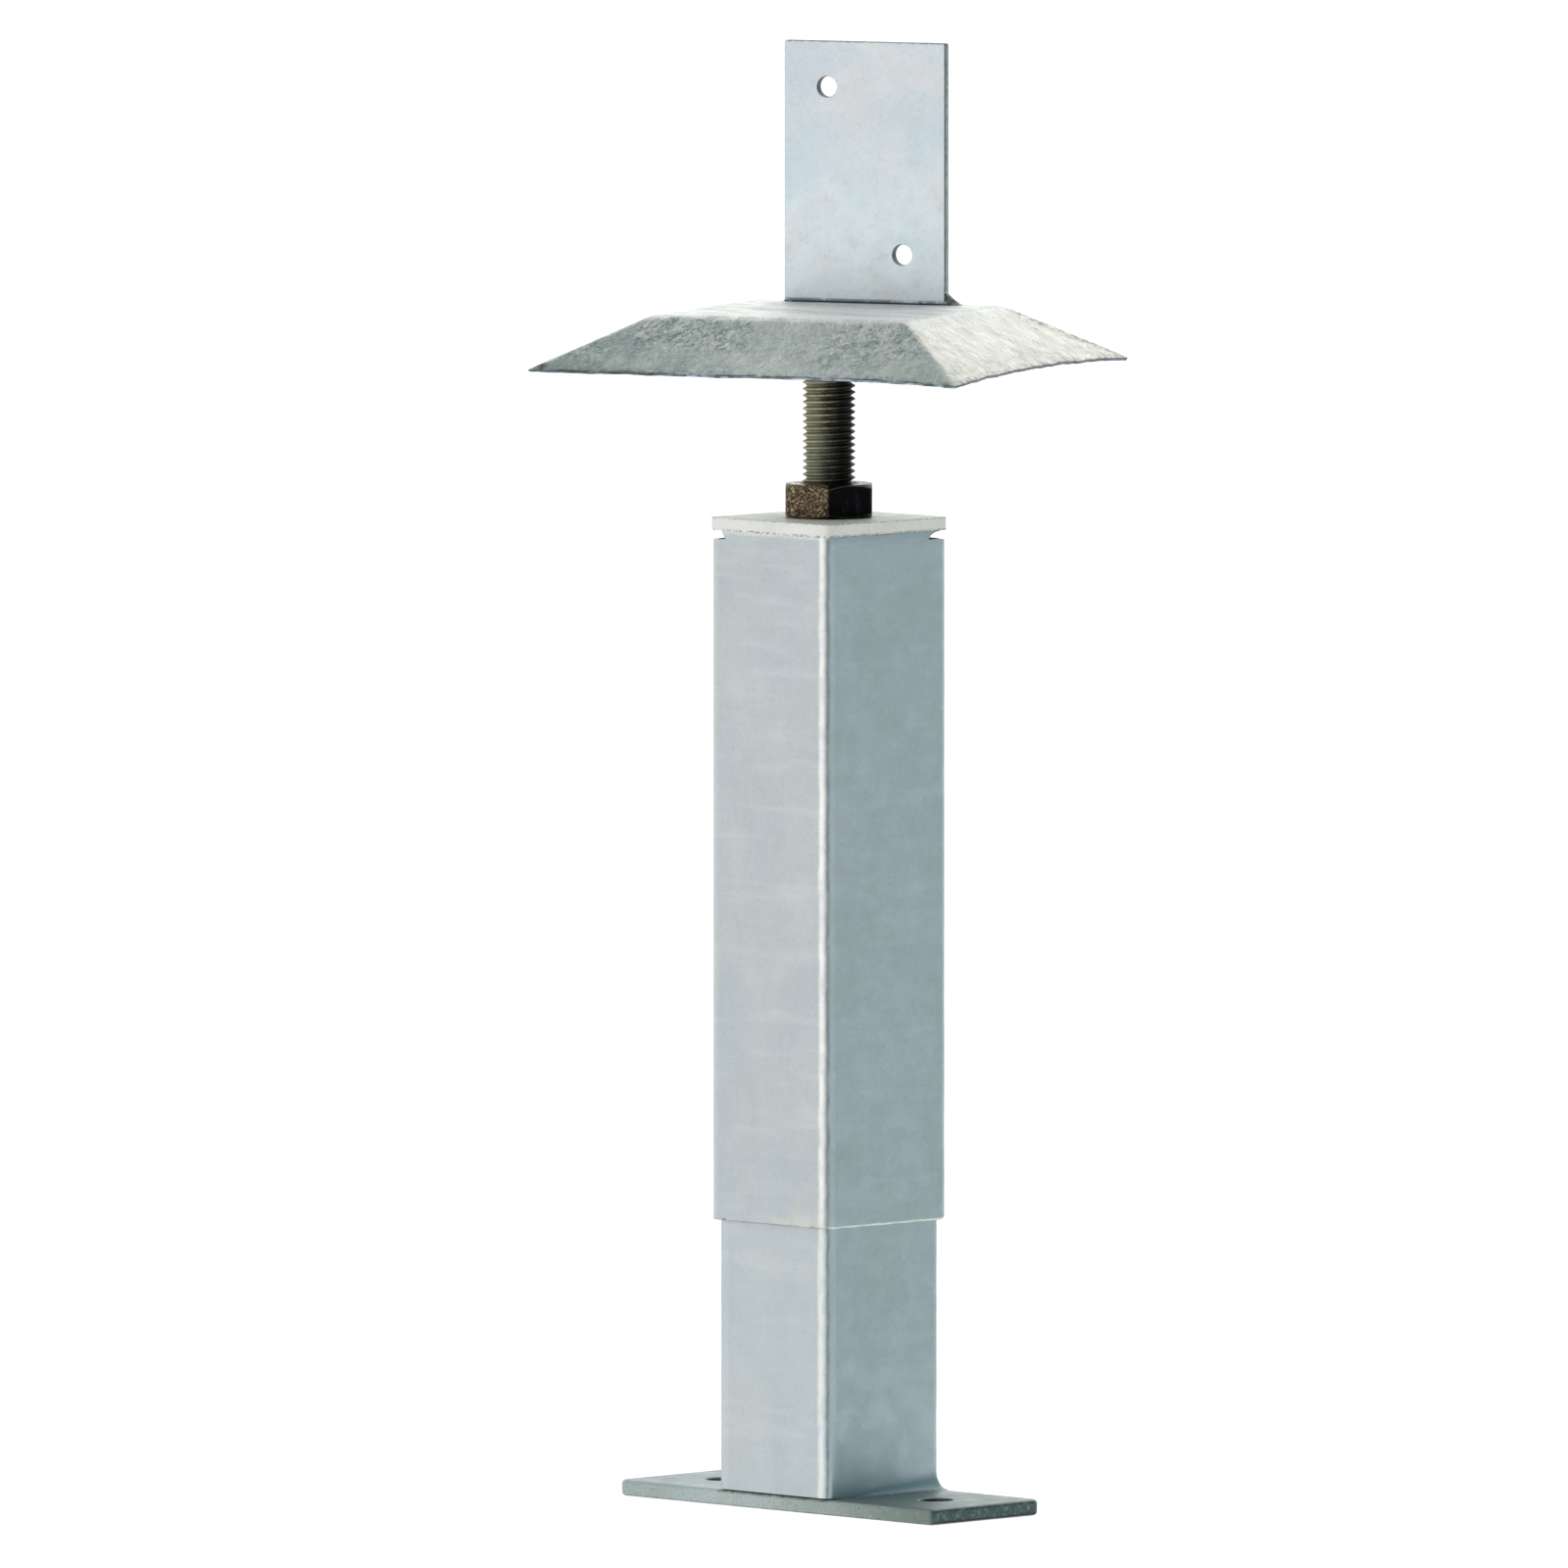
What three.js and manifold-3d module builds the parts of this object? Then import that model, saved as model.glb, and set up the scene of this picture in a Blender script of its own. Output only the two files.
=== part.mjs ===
// Height-adjustable roof bracket: a telescoping steel pedestal with a square
// rain hood and an upright beam fin.
//
// Millimetres, +Z up.  The origin is the centre of the base plate's underside.
// +X runs along the base plate's long side.  The head (rod, hood and fin) is
// turned about the vertical axis by HEAD_YAW.
//
// How it works: the square sleeve slides up and down on the square inner tube.
// The threaded rod runs in a nut welded inside the top of the inner tube.  The
// rod carries the sleeve between two nuts clamped on the sleeve's top plate, so
// turning the head raises or lowers head and sleeve together, one thread pitch
// for each turn.

import * as THREE from 'three';
import * as BufferGeometryUtils from 'three/addons/utils/BufferGeometryUtils.js';
import Module from 'manifold-3d';

// ---------------------------------------------------------------- dimensions
const GAP = 0.3;                 // running gap left between touching pieces

// base plate
const BASE_L = 170, BASE_W = 60, BASE_T = 6, BASE_R = 3;
const BASE_HOLE_D = 12, BASE_HOLE_X = 57.5;

// inner tube (60 x 60 x 3), welded on the base plate
const IN_W = 60, IN_T = 3, IN_R = 3.2;
const IN_Z0 = BASE_T + GAP, IN_Z1 = 258;

// insert that carries the rod's nut, inside the top of the inner tube
const INS_T = 6, INS_Z1 = 256, INS_BORE = 22;
const INS_NUT_H = 16, NUT_BORE = 20.8;

// outer sleeve (65 x 65 x 2)
const OUT_W = 65, OUT_T = 2, OUT_R = 4.7;
const OUT_Z0 = 109.5, OUT_Z1 = 369.5;

// top plate, welded over the sleeve with a small gap
const TOP_W = 65, TOP_T = 5, TOP_R = 2.5, TOP_Z0 = 372.8, TOP_BORE = 22;
const TOP_Z1 = TOP_Z0 + TOP_T;

// threaded rod and its two nuts
const ROD_D = 20, ROD_Z0 = 150;
const LOCK_AF = 33, LOCK_H = 13.4, LOCK_Z0 = TOP_Z1 + GAP;
const JAM_AF = 30, JAM_H = 10, WASHER_D = 37, WASHER_T = 3;
const WASHER_Z1 = TOP_Z0 - GAP, JAM_Z1 = WASHER_Z1 - WASHER_T - GAP;

// rain hood: a truncated pyramid of folded sheet
const HEAD_YAW = 22.7;           // degrees, counter-clockwise from above
const HOOD_RIM = 176, HOOD_FLAT = 102, HOOD_T = 2;
const HOOD_Z0 = 435.2, HOOD_Z1 = 456.7;
const SEAT_D = 60, SEAT_T = 5;   // round seat plate under the hood
const SEAT_Z1 = HOOD_Z1 - HOOD_T - GAP, SEAT_Z0 = SEAT_Z1 - SEAT_T;
const ROD_Z1 = SEAT_Z1 - 1.5;    // rod ends inside the seat plate's bore

// fin plate
const FIN_W = 66, FIN_H = 99.6, FIN_T = 4, FIN_X = -2, FIN_Y = 40.6;
const FIN_Z0 = HOOD_Z1 + GAP, FIN_Z1 = FIN_Z0 + FIN_H;
const FIN_HOLE_D = 8, FIN_EDGE = 17.5;

const rad = (d) => (d * Math.PI) / 180;

// ----------------------------------------------------------------- materials
const mat = (hex, roughness, metalness) =>
  new THREE.MeshStandardMaterial({ color: hex, roughness, metalness });
const M = {
  base: () => mat(0xaeb6b0, 0.55, 0.75),
  tube: () => mat(0xa3b1b5, 0.5, 0.8),
  sleeve: () => mat(0xb9c3c7, 0.5, 0.8),
  top: () => mat(0xdcdcd6, 0.55, 0.7),
  hood: () => mat(0xb4bbb4, 0.5, 0.7),
  fin: () => mat(0xcbd2d9, 0.5, 0.75),
  rod: () => mat(0x6b6450, 0.55, 0.8),
  nut: () => mat(0x4a4030, 0.5, 0.8),
  weld: () => mat(0x8e979a, 0.6, 0.7),
  dark: () => mat(0x4c5258, 0.6, 0.7),
  hidden: () => mat(0x7c8080, 0.55, 0.8),
};

// --------------------------------------------------------------- 3-D helpers
const wasm = await Module();
wasm.setup();

function toSolid(geometry) {
  const g = geometry.clone();
  g.deleteAttribute('normal');
  if (g.attributes.uv) g.deleteAttribute('uv');
  const m = BufferGeometryUtils.mergeVertices(g, 1e-5);
  return new wasm.Manifold(new wasm.Mesh({
    numProp: 3,
    vertProperties: new Float32Array(m.attributes.position.array),
    triVerts: new Uint32Array(m.index.array),
  }));
}

function toGeometry(solid) {
  const m = solid.getMesh();
  const g = new THREE.BufferGeometry();
  g.setAttribute('position', new THREE.BufferAttribute(new Float32Array(m.vertProperties), 3));
  g.setIndex(new THREE.BufferAttribute(new Uint32Array(m.triVerts), 1));
  g.computeVertexNormals();
  return g;
}

const cut = (a, ...bs) => {
  let s = toSolid(a);
  for (const b of bs) s = s.subtract(toSolid(b));
  return toGeometry(s);
};

// square outline with rounded corners; steps is the number of chords a corner
function roundedPoints(w, h, r, steps = 4, cx = 0, cy = 0) {
  const pts = [];
  const corners = [[w / 2 - r, h / 2 - r, 0], [-w / 2 + r, h / 2 - r, 90],
    [-w / 2 + r, -h / 2 + r, 180], [w / 2 - r, -h / 2 + r, 270]];
  for (const [x, y, a] of corners) {
    for (let i = 0; i <= steps; i++) {
      const t = rad(a + (90 * i) / steps);
      pts.push(new THREE.Vector2(cx + x + r * Math.cos(t), cy + y + r * Math.sin(t)));
    }
  }
  return pts;
}

function circlePoints(r, n, cx = 0, cy = 0, phase = 0) {
  const pts = [];
  for (let i = 0; i < n; i++) {
    const t = rad(phase + (360 * i) / n);
    pts.push(new THREE.Vector2(cx + r * Math.cos(t), cy + r * Math.sin(t)));
  }
  return pts;
}

// flat prism from an outline and its holes, from z0 upwards
function prism(outline, holes, z0, height) {
  const shape = new THREE.Shape(outline);
  for (const h of holes) shape.holes.push(new THREE.Path(h));
  const g = new THREE.ExtrudeGeometry(shape, { depth: height, bevelEnabled: false });
  g.translate(0, 0, z0);
  return g;
}

// hexagon with a corner towards the direction `phase` degrees
const hexPoints = (af, phase) => circlePoints(af / Math.sqrt(3), 6, 0, 0, phase);

// hexagonal nut, its corners turned off by a cone at both ends
function hexNut(af, height, bore, z0, phase, chamfer = true) {
  const body = prism(hexPoints(af, phase), [circlePoints(bore / 2, 32)], z0, height);
  if (!chamfer) return body;
  const rc = af / Math.sqrt(3) + 1, ri = af / 2 * 0.97;
  const k = (rc - ri) * Math.tan(rad(30));
  const turned = new THREE.LatheGeometry([
    new THREE.Vector2(0, z0 - 0.01),
    new THREE.Vector2(ri, z0 - 0.01),
    new THREE.Vector2(rc, z0 + k),
    new THREE.Vector2(rc, z0 + height - k),
    new THREE.Vector2(ri, z0 + height + 0.01),
    new THREE.Vector2(0, z0 + height + 0.01),
  ], 32);
  turned.rotateX(Math.PI / 2);
  return toGeometry(toSolid(body).intersect(toSolid(turned)));
}

// a turned profile, drawn as (radius, z), standing on +Z
function lathe(points, segments = 32) {
  const g = new THREE.LatheGeometry(points.map(([r, z]) => new THREE.Vector2(r, z)), segments);
  g.rotateX(Math.PI / 2);
  return g;
}

// straight fillet bead: a triangular bar with a slightly bulged face, run along
// +X from x0 to x1, its right angle on the line y = 0, z = 0, legs towards -y
// and +z, with tapered ends
function bead(length, legY, legZ, taper = 1.2) {
  const n = Math.max(3, Math.round(length / 9));
  const xs = [-length / 2, -length / 2 + taper];
  for (let i = 1; i < n; i++) xs.push(-length / 2 + taper + ((length - 2 * taper) * i) / n);
  xs.push(length / 2 - taper, length / 2);
  const pos = [];
  xs.forEach((x, i) => {
    const k = (i === 0 || i === xs.length - 1) ? 0.35 : (i % 2 ? 1 : 0.94);
    const y = legY * k, z = legZ * k;
    pos.push([x, 0, 0], [x, -y, 0], [x, -y * 0.60, z * 0.60], [x, 0, z]);
  });
  const v = [];
  const tri = (a, b, c) => v.push(...pos[a], ...pos[b], ...pos[c]);
  for (let i = 0; i + 1 < xs.length; i++) {
    for (let j = 0; j < 4; j++) {
      const a = i * 4 + j, b = i * 4 + ((j + 1) % 4);
      const c = a + 4, d = b + 4;
      tri(a, b, d); tri(a, d, c);
    }
  }
  const e = (xs.length - 1) * 4;
  tri(0, 2, 1); tri(0, 3, 2);
  tri(e, e + 1, e + 2); tri(e, e + 2, e + 3);
  let g = new THREE.BufferGeometry();
  g.setAttribute('position', new THREE.BufferAttribute(new Float32Array(v), 3));
  g = BufferGeometryUtils.mergeVertices(g, 1e-5);
  // turn the faces outwards if the winding came out the other way round
  const p = g.attributes.position, ix = g.index;
  let vol = 0;
  const A = new THREE.Vector3(), B = new THREE.Vector3(), C = new THREE.Vector3();
  for (let i = 0; i < ix.count; i += 3) {
    A.fromBufferAttribute(p, ix.getX(i)); B.fromBufferAttribute(p, ix.getX(i + 1));
    C.fromBufferAttribute(p, ix.getX(i + 2));
    vol += A.dot(B.cross(C));
  }
  if (vol < 0) {
    for (let i = 0; i < ix.count; i += 3) {
      const t = ix.getX(i + 1); ix.setX(i + 1, ix.getX(i + 2)); ix.setX(i + 2, t);
    }
  }
  g.computeVertexNormals();
  return g;
}

// ------------------------------------------------------------------ assembly
const bracket = new THREE.Group();
const base = new THREE.Group(), sleeve = new THREE.Group(), head = new THREE.Group();
bracket.add(base, sleeve, head);
head.rotation.z = rad(HEAD_YAW);

function part(group, name, geometry, material) {
  const mesh = new THREE.Mesh(geometry, material);
  mesh.name = name;
  group.add(mesh);
  return mesh;
}

// ---- base: plate, inner tube, foot welds, insert
part(base, 'base_plate', prism(
  roundedPoints(BASE_L, BASE_W, BASE_R, 4),
  [circlePoints(BASE_HOLE_D / 2, 32, BASE_HOLE_X, 0), circlePoints(BASE_HOLE_D / 2, 32, -BASE_HOLE_X, 0)],
  0, BASE_T), M.base());

part(base, 'inner_tube', prism(
  roundedPoints(IN_W, IN_W, IN_R, 4),
  [roundedPoints(IN_W - 2 * IN_T, IN_W - 2 * IN_T, 1.2, 2).reverse()],
  IN_Z0, IN_Z1 - IN_Z0), M.tube());

// the tube is flush with the plate's long sides, so the foot is welded on the
// two faces that look along the plate
for (const [name, side] of [['foot_weld_right', 1], ['foot_weld_left', -1]]) {
  const g = bead(56, 4, 4);
  const m = part(base, name, g, M.weld());
  m.position.set(side * (IN_W / 2 + GAP), 0, BASE_T + GAP);
  m.rotation.z = side > 0 ? Math.PI / 2 : -Math.PI / 2;
}

part(base, 'insert_plate', prism(
  roundedPoints(IN_W - 2 * IN_T - 2 * GAP, IN_W - 2 * IN_T - 2 * GAP, 1.5, 2),
  [circlePoints(INS_BORE / 2, 32)], INS_Z1 - INS_T, INS_T), M.hidden());
part(base, 'insert_nut', hexNut(30, INS_NUT_H, NUT_BORE, INS_Z1 - INS_T - GAP - INS_NUT_H, 0), M.hidden());

// ---- sleeve: outer tube, top plate and the four welds between them
part(sleeve, 'outer_tube', prism(
  roundedPoints(OUT_W, OUT_W, OUT_R, 5),
  [roundedPoints(OUT_W - 2 * OUT_T, OUT_W - 2 * OUT_T, OUT_R - OUT_T, 3).reverse()],
  OUT_Z0, OUT_Z1 - OUT_Z0), M.sleeve());

part(sleeve, 'top_plate', prism(
  roundedPoints(TOP_W, TOP_W, TOP_R, 3), [circlePoints(TOP_BORE / 2, 32)], TOP_Z0, TOP_T), M.top());

// weld bars fill the gap between the tube's rim and the plate, and stop short
// of the corners
const topWeldH = TOP_Z0 - OUT_Z1 - 2 * GAP;
for (const [name, angle] of [['top_weld_front', 0], ['top_weld_right', 90], ['top_weld_back', 180], ['top_weld_left', 270]]) {
  const len = 53;
  const g = prism([
    new THREE.Vector2(-len / 2, -1.9), new THREE.Vector2(len / 2, -1.9),
    new THREE.Vector2(len / 2 + 1.2, -0.4), new THREE.Vector2(len / 2 - 0.6, 0.9),
    new THREE.Vector2(-len / 2 + 0.6, 0.9), new THREE.Vector2(-len / 2 - 1.2, -0.4),
  ], [], 0, topWeldH);
  const m = part(sleeve, name, g, M.weld());
  m.rotation.z = rad(angle);
  const r = OUT_W / 2 - 0.9;
  m.position.set(Math.sin(rad(angle)) * r, -Math.cos(rad(angle)) * r, OUT_Z1 + GAP);
}

// ---- head: rod, jam nut and washer, hood, seat, fin
part(head, 'threaded_rod', lathe([
  [0, ROD_Z0], [ROD_D / 2 - 1.5, ROD_Z0], [ROD_D / 2, ROD_Z0 + 1.5], [ROD_D / 2, ROD_Z1], [0, ROD_Z1],
], 32), M.rod());

part(head, 'washer', prism(circlePoints(WASHER_D / 2, 32), [circlePoints(NUT_BORE / 2, 32)],
  WASHER_Z1 - WASHER_T, WASHER_T), M.hidden());
part(head, 'jam_nut', hexNut(JAM_AF, JAM_H, NUT_BORE, JAM_Z1 - JAM_H, 10), M.hidden());

// lock nut on top of the plate; one corner faces the front edge of the bracket
const lock = part(bracket, 'lock_nut', hexNut(LOCK_AF, LOCK_H, NUT_BORE, LOCK_Z0, 0), M.nut());
lock.rotation.z = rad(-45.5);

// hood: four-sided truncated pyramid of sheet with a flat top, folded from one
// blank; its inside is the outside moved in by the sheet's thickness
function hoodGeometry() {
  const slope = Math.atan2(HOOD_Z1 - HOOD_Z0, (HOOD_RIM - HOOD_FLAT) / 2);
  const rf = HOOD_FLAT / 2, rr = HOOD_RIM / 2;
  const zi = HOOD_Z1 - HOOD_T;                                   // underside of the flat top
  const inset = HOOD_T * Math.tan(slope / 2);                    // of the inner fold line
  const rfi = rf - inset;
  const h = zi - HOOD_Z0;
  const rri = rfi + h / Math.tan(slope);
  const ring = (r, z) => [[-r, -r, z], [r, -r, z], [r, r, z], [-r, r, z]];
  const P = [...ring(rr, HOOD_Z0), ...ring(rf, HOOD_Z1), ...ring(rfi, zi), ...ring(rri, HOOD_Z0)];
  const v = [];
  const tri = (a, b, c) => v.push(...P[a], ...P[b], ...P[c]);
  const quad = (a, b, c, d) => { tri(a, b, c); tri(a, c, d); };
  for (let i = 0; i < 4; i++) {
    const j = (i + 1) % 4;
    quad(i, j, 4 + j, 4 + i);                                    // outside slopes
    quad(8 + i, 8 + j, 12 + j, 12 + i);                          // inside slopes
    quad(12 + i, 12 + j, j, i);                                  // rim edge
  }
  quad(4, 5, 6, 7);                                              // top
  quad(11, 10, 9, 8);                                            // underside of the top
  let g = new THREE.BufferGeometry();
  g.setAttribute('position', new THREE.BufferAttribute(new Float32Array(v), 3));
  g = BufferGeometryUtils.mergeVertices(g, 1e-5);
  g.computeVertexNormals();
  return g;
}
part(head, 'rain_hood', hoodGeometry(), M.hood());

part(head, 'seat_plate', prism(circlePoints(SEAT_D / 2, 48), [circlePoints(ROD_D / 2 + GAP, 32)],
  SEAT_Z0, SEAT_T), M.hidden());

// ring of weld where the rod meets the seat plate's underside
const r0 = ROD_D / 2 + GAP, z0 = SEAT_Z0 - GAP;
part(head, 'rod_weld', lathe([[r0, z0 - 4], [r0 + 2.4, z0 - 2.4], [r0 + 4, z0], [r0, z0], [r0, z0 - 4]], 32), M.weld());

// fin: upright plate parallel to the hood's front edge, two holes on a diagonal
const fin = cut(prism(roundedPoints(FIN_W, FIN_H, 0.8, 2, 0, FIN_H / 2), [
  circlePoints(FIN_HOLE_D / 2, 32, -FIN_W / 2 + FIN_EDGE, FIN_H - FIN_EDGE),
  circlePoints(FIN_HOLE_D / 2, 32, FIN_W / 2 - FIN_EDGE, FIN_EDGE + 1),
], 0, FIN_T));
fin.rotateX(Math.PI / 2);                                        // stands up, faces -Y
fin.translate(FIN_X, FIN_Y + FIN_T, FIN_Z0);
part(head, 'fin_plate', fin, M.fin());

// fin welds: one along the back of the foot, one at each end; the front face
// stays clear, because the beam lies against it
const fw2 = part(head, 'fin_weld_back', bead(62, 3, 3), M.dark());
fw2.position.set(FIN_X, FIN_Y + FIN_T + GAP, FIN_Z0);
fw2.rotation.z = Math.PI;
const fw3 = part(head, 'fin_weld_end', bead(4, 6, 4.5, 0.6), M.dark());
fw3.position.set(FIN_X + FIN_W / 2 + GAP, FIN_Y + FIN_T / 2, FIN_Z0);
fw3.rotation.z = Math.PI / 2;
const fw4 = part(head, 'fin_weld_end_left', bead(4, 3, 3, 0.6), M.dark());
fw4.position.set(FIN_X - FIN_W / 2 - GAP, FIN_Y + FIN_T / 2, FIN_Z0);
fw4.rotation.z = -Math.PI / 2;

export default bracket;
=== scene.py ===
import math

import bpy
import bmesh
import numpy as np
from mathutils import Vector, Matrix, noise


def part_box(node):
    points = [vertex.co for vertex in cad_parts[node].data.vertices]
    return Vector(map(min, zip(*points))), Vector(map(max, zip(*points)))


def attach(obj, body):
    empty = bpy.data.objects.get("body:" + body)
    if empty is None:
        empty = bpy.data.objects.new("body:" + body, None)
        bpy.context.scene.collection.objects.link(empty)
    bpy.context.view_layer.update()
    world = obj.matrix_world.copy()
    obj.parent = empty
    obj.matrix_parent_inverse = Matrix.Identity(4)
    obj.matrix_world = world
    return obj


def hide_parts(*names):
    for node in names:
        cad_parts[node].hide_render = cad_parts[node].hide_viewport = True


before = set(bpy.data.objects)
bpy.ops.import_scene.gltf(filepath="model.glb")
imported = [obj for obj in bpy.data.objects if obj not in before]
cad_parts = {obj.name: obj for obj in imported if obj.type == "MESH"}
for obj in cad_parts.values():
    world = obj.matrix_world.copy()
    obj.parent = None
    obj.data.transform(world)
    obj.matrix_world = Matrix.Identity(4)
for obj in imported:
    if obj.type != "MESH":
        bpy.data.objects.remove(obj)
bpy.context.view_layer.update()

scene = bpy.context.scene
MM = 0.001


def box(node):
    lo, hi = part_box(node)
    return np.array(lo) / MM, np.array(hi) / MM


# ------------------------------------------------------------------ dimensions
# All in millimetres, read from the frame where the frame has them.
BP_LO, BP_HI = box("base_plate")
IT_LO, IT_HI = box("inner_tube")
OT_LO, OT_HI = box("outer_tube")
TP_LO, TP_HI = box("top_plate")
RD_LO, RD_HI = box("threaded_rod")
LN_LO, LN_HI = box("lock_nut")
JN_LO, JN_HI = box("jam_nut")
WS_LO, WS_HI = box("washer")
HD_LO, HD_HI = box("rain_hood")
SP_LO, SP_HI = box("seat_plate")
FN_LO, FN_HI = box("fin_plate")
IP_LO, IP_HI = box("insert_plate")
IN_LO, IN_HI = box("insert_nut")
RW_LO, RW_HI = box("rod_weld")

YAW = math.radians(22.7)
HOOD_RIM, HOOD_FLAT, HOOD_T = 176.0, 102.0, 2.0
FIN_W, FIN_T, FIN_X, FIN_Y = 66.0, 4.0, -2.0, 40.6
FIN_Z0, FIN_Z1 = FN_LO[2], FN_HI[2]


def fbm(p, scale, octaves=3, seed=0.0):
    """Smooth noise of about -1 to 1 at a point in millimetres."""
    v, a, f, n = 0.0, 1.0, scale, 0.0
    for i in range(octaves):
        v += a * noise.noise(Vector((p[0] * f + seed + 17.3 * i, p[1] * f - seed * 0.7, p[2] * f + seed * 1.3)))
        n += a
        a *= 0.5
        f *= 2.03
    return v / n


# ---------------------------------------------------------------- mesh helpers
def make(name, verts, faces, smooth=True, yaw=0.0, sharp=None):
    """A mesh object from points in millimetres, turned by yaw about Z."""
    v = np.array(verts, float)
    if yaw:
        c, s = math.cos(yaw), math.sin(yaw)
        x, y = v[:, 0].copy(), v[:, 1].copy()
        v[:, 0], v[:, 1] = c * x - s * y, s * x + c * y
    me = bpy.data.meshes.new(name)
    me.from_pydata([tuple(p) for p in v * MM], [], faces)
    me.update()
    ob = bpy.data.objects.new(name, me)
    scene.collection.objects.link(ob)
    bm = bmesh.new()
    bm.from_mesh(me)
    bmesh.ops.remove_doubles(bm, verts=bm.verts, dist=1e-6)
    bmesh.ops.recalc_face_normals(bm, faces=bm.faces)
    bm.to_mesh(me)
    bm.free()
    if smooth:
        me.shade_smooth()
        if sharp:
            me.set_sharp_from_angle(angle=math.radians(sharp))
    return ob


def weighted(ob):
    m = ob.modifiers.new("wn", "WEIGHTED_NORMAL")
    m.keep_sharp = True
    m.weight = 100
    return ob


def apply_all(ob):
    dg = bpy.context.evaluated_depsgraph_get()
    me = bpy.data.meshes.new_from_object(ob.evaluated_get(dg))
    old = ob.data
    ob.modifiers.clear()
    ob.data = me
    return ob


def rounded(w, h, r, corner=8, side=1):
    """Closed outline of a rounded rectangle, counter-clockwise, with its outward normals; r may be four radii, from (+x, +y) on."""
    pts, nrm = [], []
    rr = r if isinstance(r, (tuple, list)) else (r, r, r, r)
    cs = [(w / 2 - rr[0], h / 2 - rr[0], 0), (-w / 2 + rr[1], h / 2 - rr[1], 90),
          (-w / 2 + rr[2], -h / 2 + rr[2], 180), (w / 2 - rr[3], -h / 2 + rr[3], 270)]
    for k, (x, y, a) in enumerate(cs):
        for i in range(corner + 1):
            t = math.radians(a + 90 * i / corner)
            pts.append((x + rr[k] * math.cos(t), y + rr[k] * math.sin(t)))
            nrm.append((math.cos(t), math.sin(t)))
        k2 = (k + 1) % 4
        nx, ny, na = cs[k2]
        t = math.radians(a + 90)
        p0 = np.array(pts[-1])
        p1 = np.array((nx + rr[k2] * math.cos(t), ny + rr[k2] * math.sin(t)))
        for i in range(1, side):
            pts.append(tuple(p0 + (p1 - p0) * i / side))
            nrm.append((math.cos(t), math.sin(t)))
    return np.array(pts), np.array(nrm)


def arc_profile(w, z0, z1, b, steps=3, nz=1, bi=None):
    """Closed (inset, z) section of a wall of thickness w from z0 to z1 with rounded edges b; inset 0 is the outer face."""
    bi = b if bi is None else bi
    out = []
    def arc(cx, cz, a0, r):
        for i in range(steps + 1):
            t = math.radians(a0 + 90 * i / steps)
            out.append((cx + r * math.cos(t), cz + r * math.sin(t)))
    # outer face runs up, so begin low on the outside
    arc(b, z0 + b, 180, b)                       # outer bottom: from outer face round to the bottom edge
    # reversed order to keep the section going: outer face is inset 0
    bottom = out[:]
    out.clear()
    arc(w - bi, z0 + bi, 270, bi)                # inner bottom
    inner_b = out[:]
    out.clear()
    arc(w - bi, z1 - bi, 0, bi)                  # inner top
    inner_t = out[:]
    out.clear()
    arc(b, z1 - b, 90, b)                        # outer top
    outer_t = out[:]
    prof = bottom + inner_b
    for i in range(1, nz):
        prof.append((w, z0 + bi + (z1 - z0 - 2 * bi) * i / nz))
    prof += inner_t + outer_t
    for i in range(1, nz):
        prof.append((0.0, z1 - b - (z1 - z0 - 2 * b) * i / nz))
    return prof


def sweep(name, pts, nrm, prof, disp=None, yaw=0.0, sharp=None):
    """A closed section swept round a closed outline. disp(x, y, z, inset) may return a shift along the normal."""
    n, m = len(pts), len(prof)
    verts, faces = [], []
    for i in range(n):
        for (d, z) in prof:
            x, y = pts[i] - nrm[i] * d
            if disp:
                k = disp(x, y, z, d)
                dz = 0.0
                if isinstance(k, tuple):
                    k, dz = k
                x += nrm[i][0] * k
                y += nrm[i][1] * k
                z = z + dz
            verts.append((x, y, z))
    for i in range(n):
        j = (i + 1) % n
        for a in range(m):
            b = (a + 1) % m
            faces.append((i * m + a, j * m + a, j * m + b, i * m + b))
    return make(name, verts, faces, yaw=yaw, sharp=sharp)


def plate(name, outer, holes, z0, z1, bevel=0.5, res=3, yaw=0.0, stand=None):
    """A flat plate with rounded edges and holes, made as a filled curve. stand turns it upright."""
    cu = bpy.data.curves.new(name + "_c", "CURVE")
    cu.dimensions = "2D"
    cu.fill_mode = "BOTH"
    for loop in [outer] + holes:
        sp = cu.splines.new("POLY")
        sp.points.add(len(loop) - 1)
        for i, p in enumerate(loop):
            sp.points[i].co = (p[0] * MM, p[1] * MM, 0, 1)
        sp.use_cyclic_u = True
    cu.extrude = ((z1 - z0) / 2 - bevel) * MM
    cu.bevel_depth = bevel * MM
    cu.bevel_resolution = res
    cu.offset = -bevel * MM
    ob = bpy.data.objects.new(name + "_c", cu)
    scene.collection.objects.link(ob)
    dg = bpy.context.evaluated_depsgraph_get()
    me = bpy.data.meshes.new_from_object(ob.evaluated_get(dg))
    bpy.data.objects.remove(ob)
    me.name = name
    me.transform(Matrix.Translation((0, 0, (z0 + z1) / 2 * MM)))
    if stand is not None:
        me.transform(stand)
    if yaw:
        me.transform(Matrix.Rotation(yaw, 4, "Z"))
    ob = bpy.data.objects.new(name, me)
    scene.collection.objects.link(ob)
    bm = bmesh.new()
    bm.from_mesh(me)
    bmesh.ops.remove_doubles(bm, verts=bm.verts, dist=2e-6)
    bmesh.ops.recalc_face_normals(bm, faces=bm.faces)
    bm.to_mesh(me)
    bm.free()
    me.shade_smooth()
    weighted(ob)
    return ob


def circle(r, n, cx=0.0, cy=0.0):
    return [(cx + r * math.cos(2 * math.pi * i / n), cy + r * math.sin(2 * math.pi * i / n)) for i in range(n)]


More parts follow.
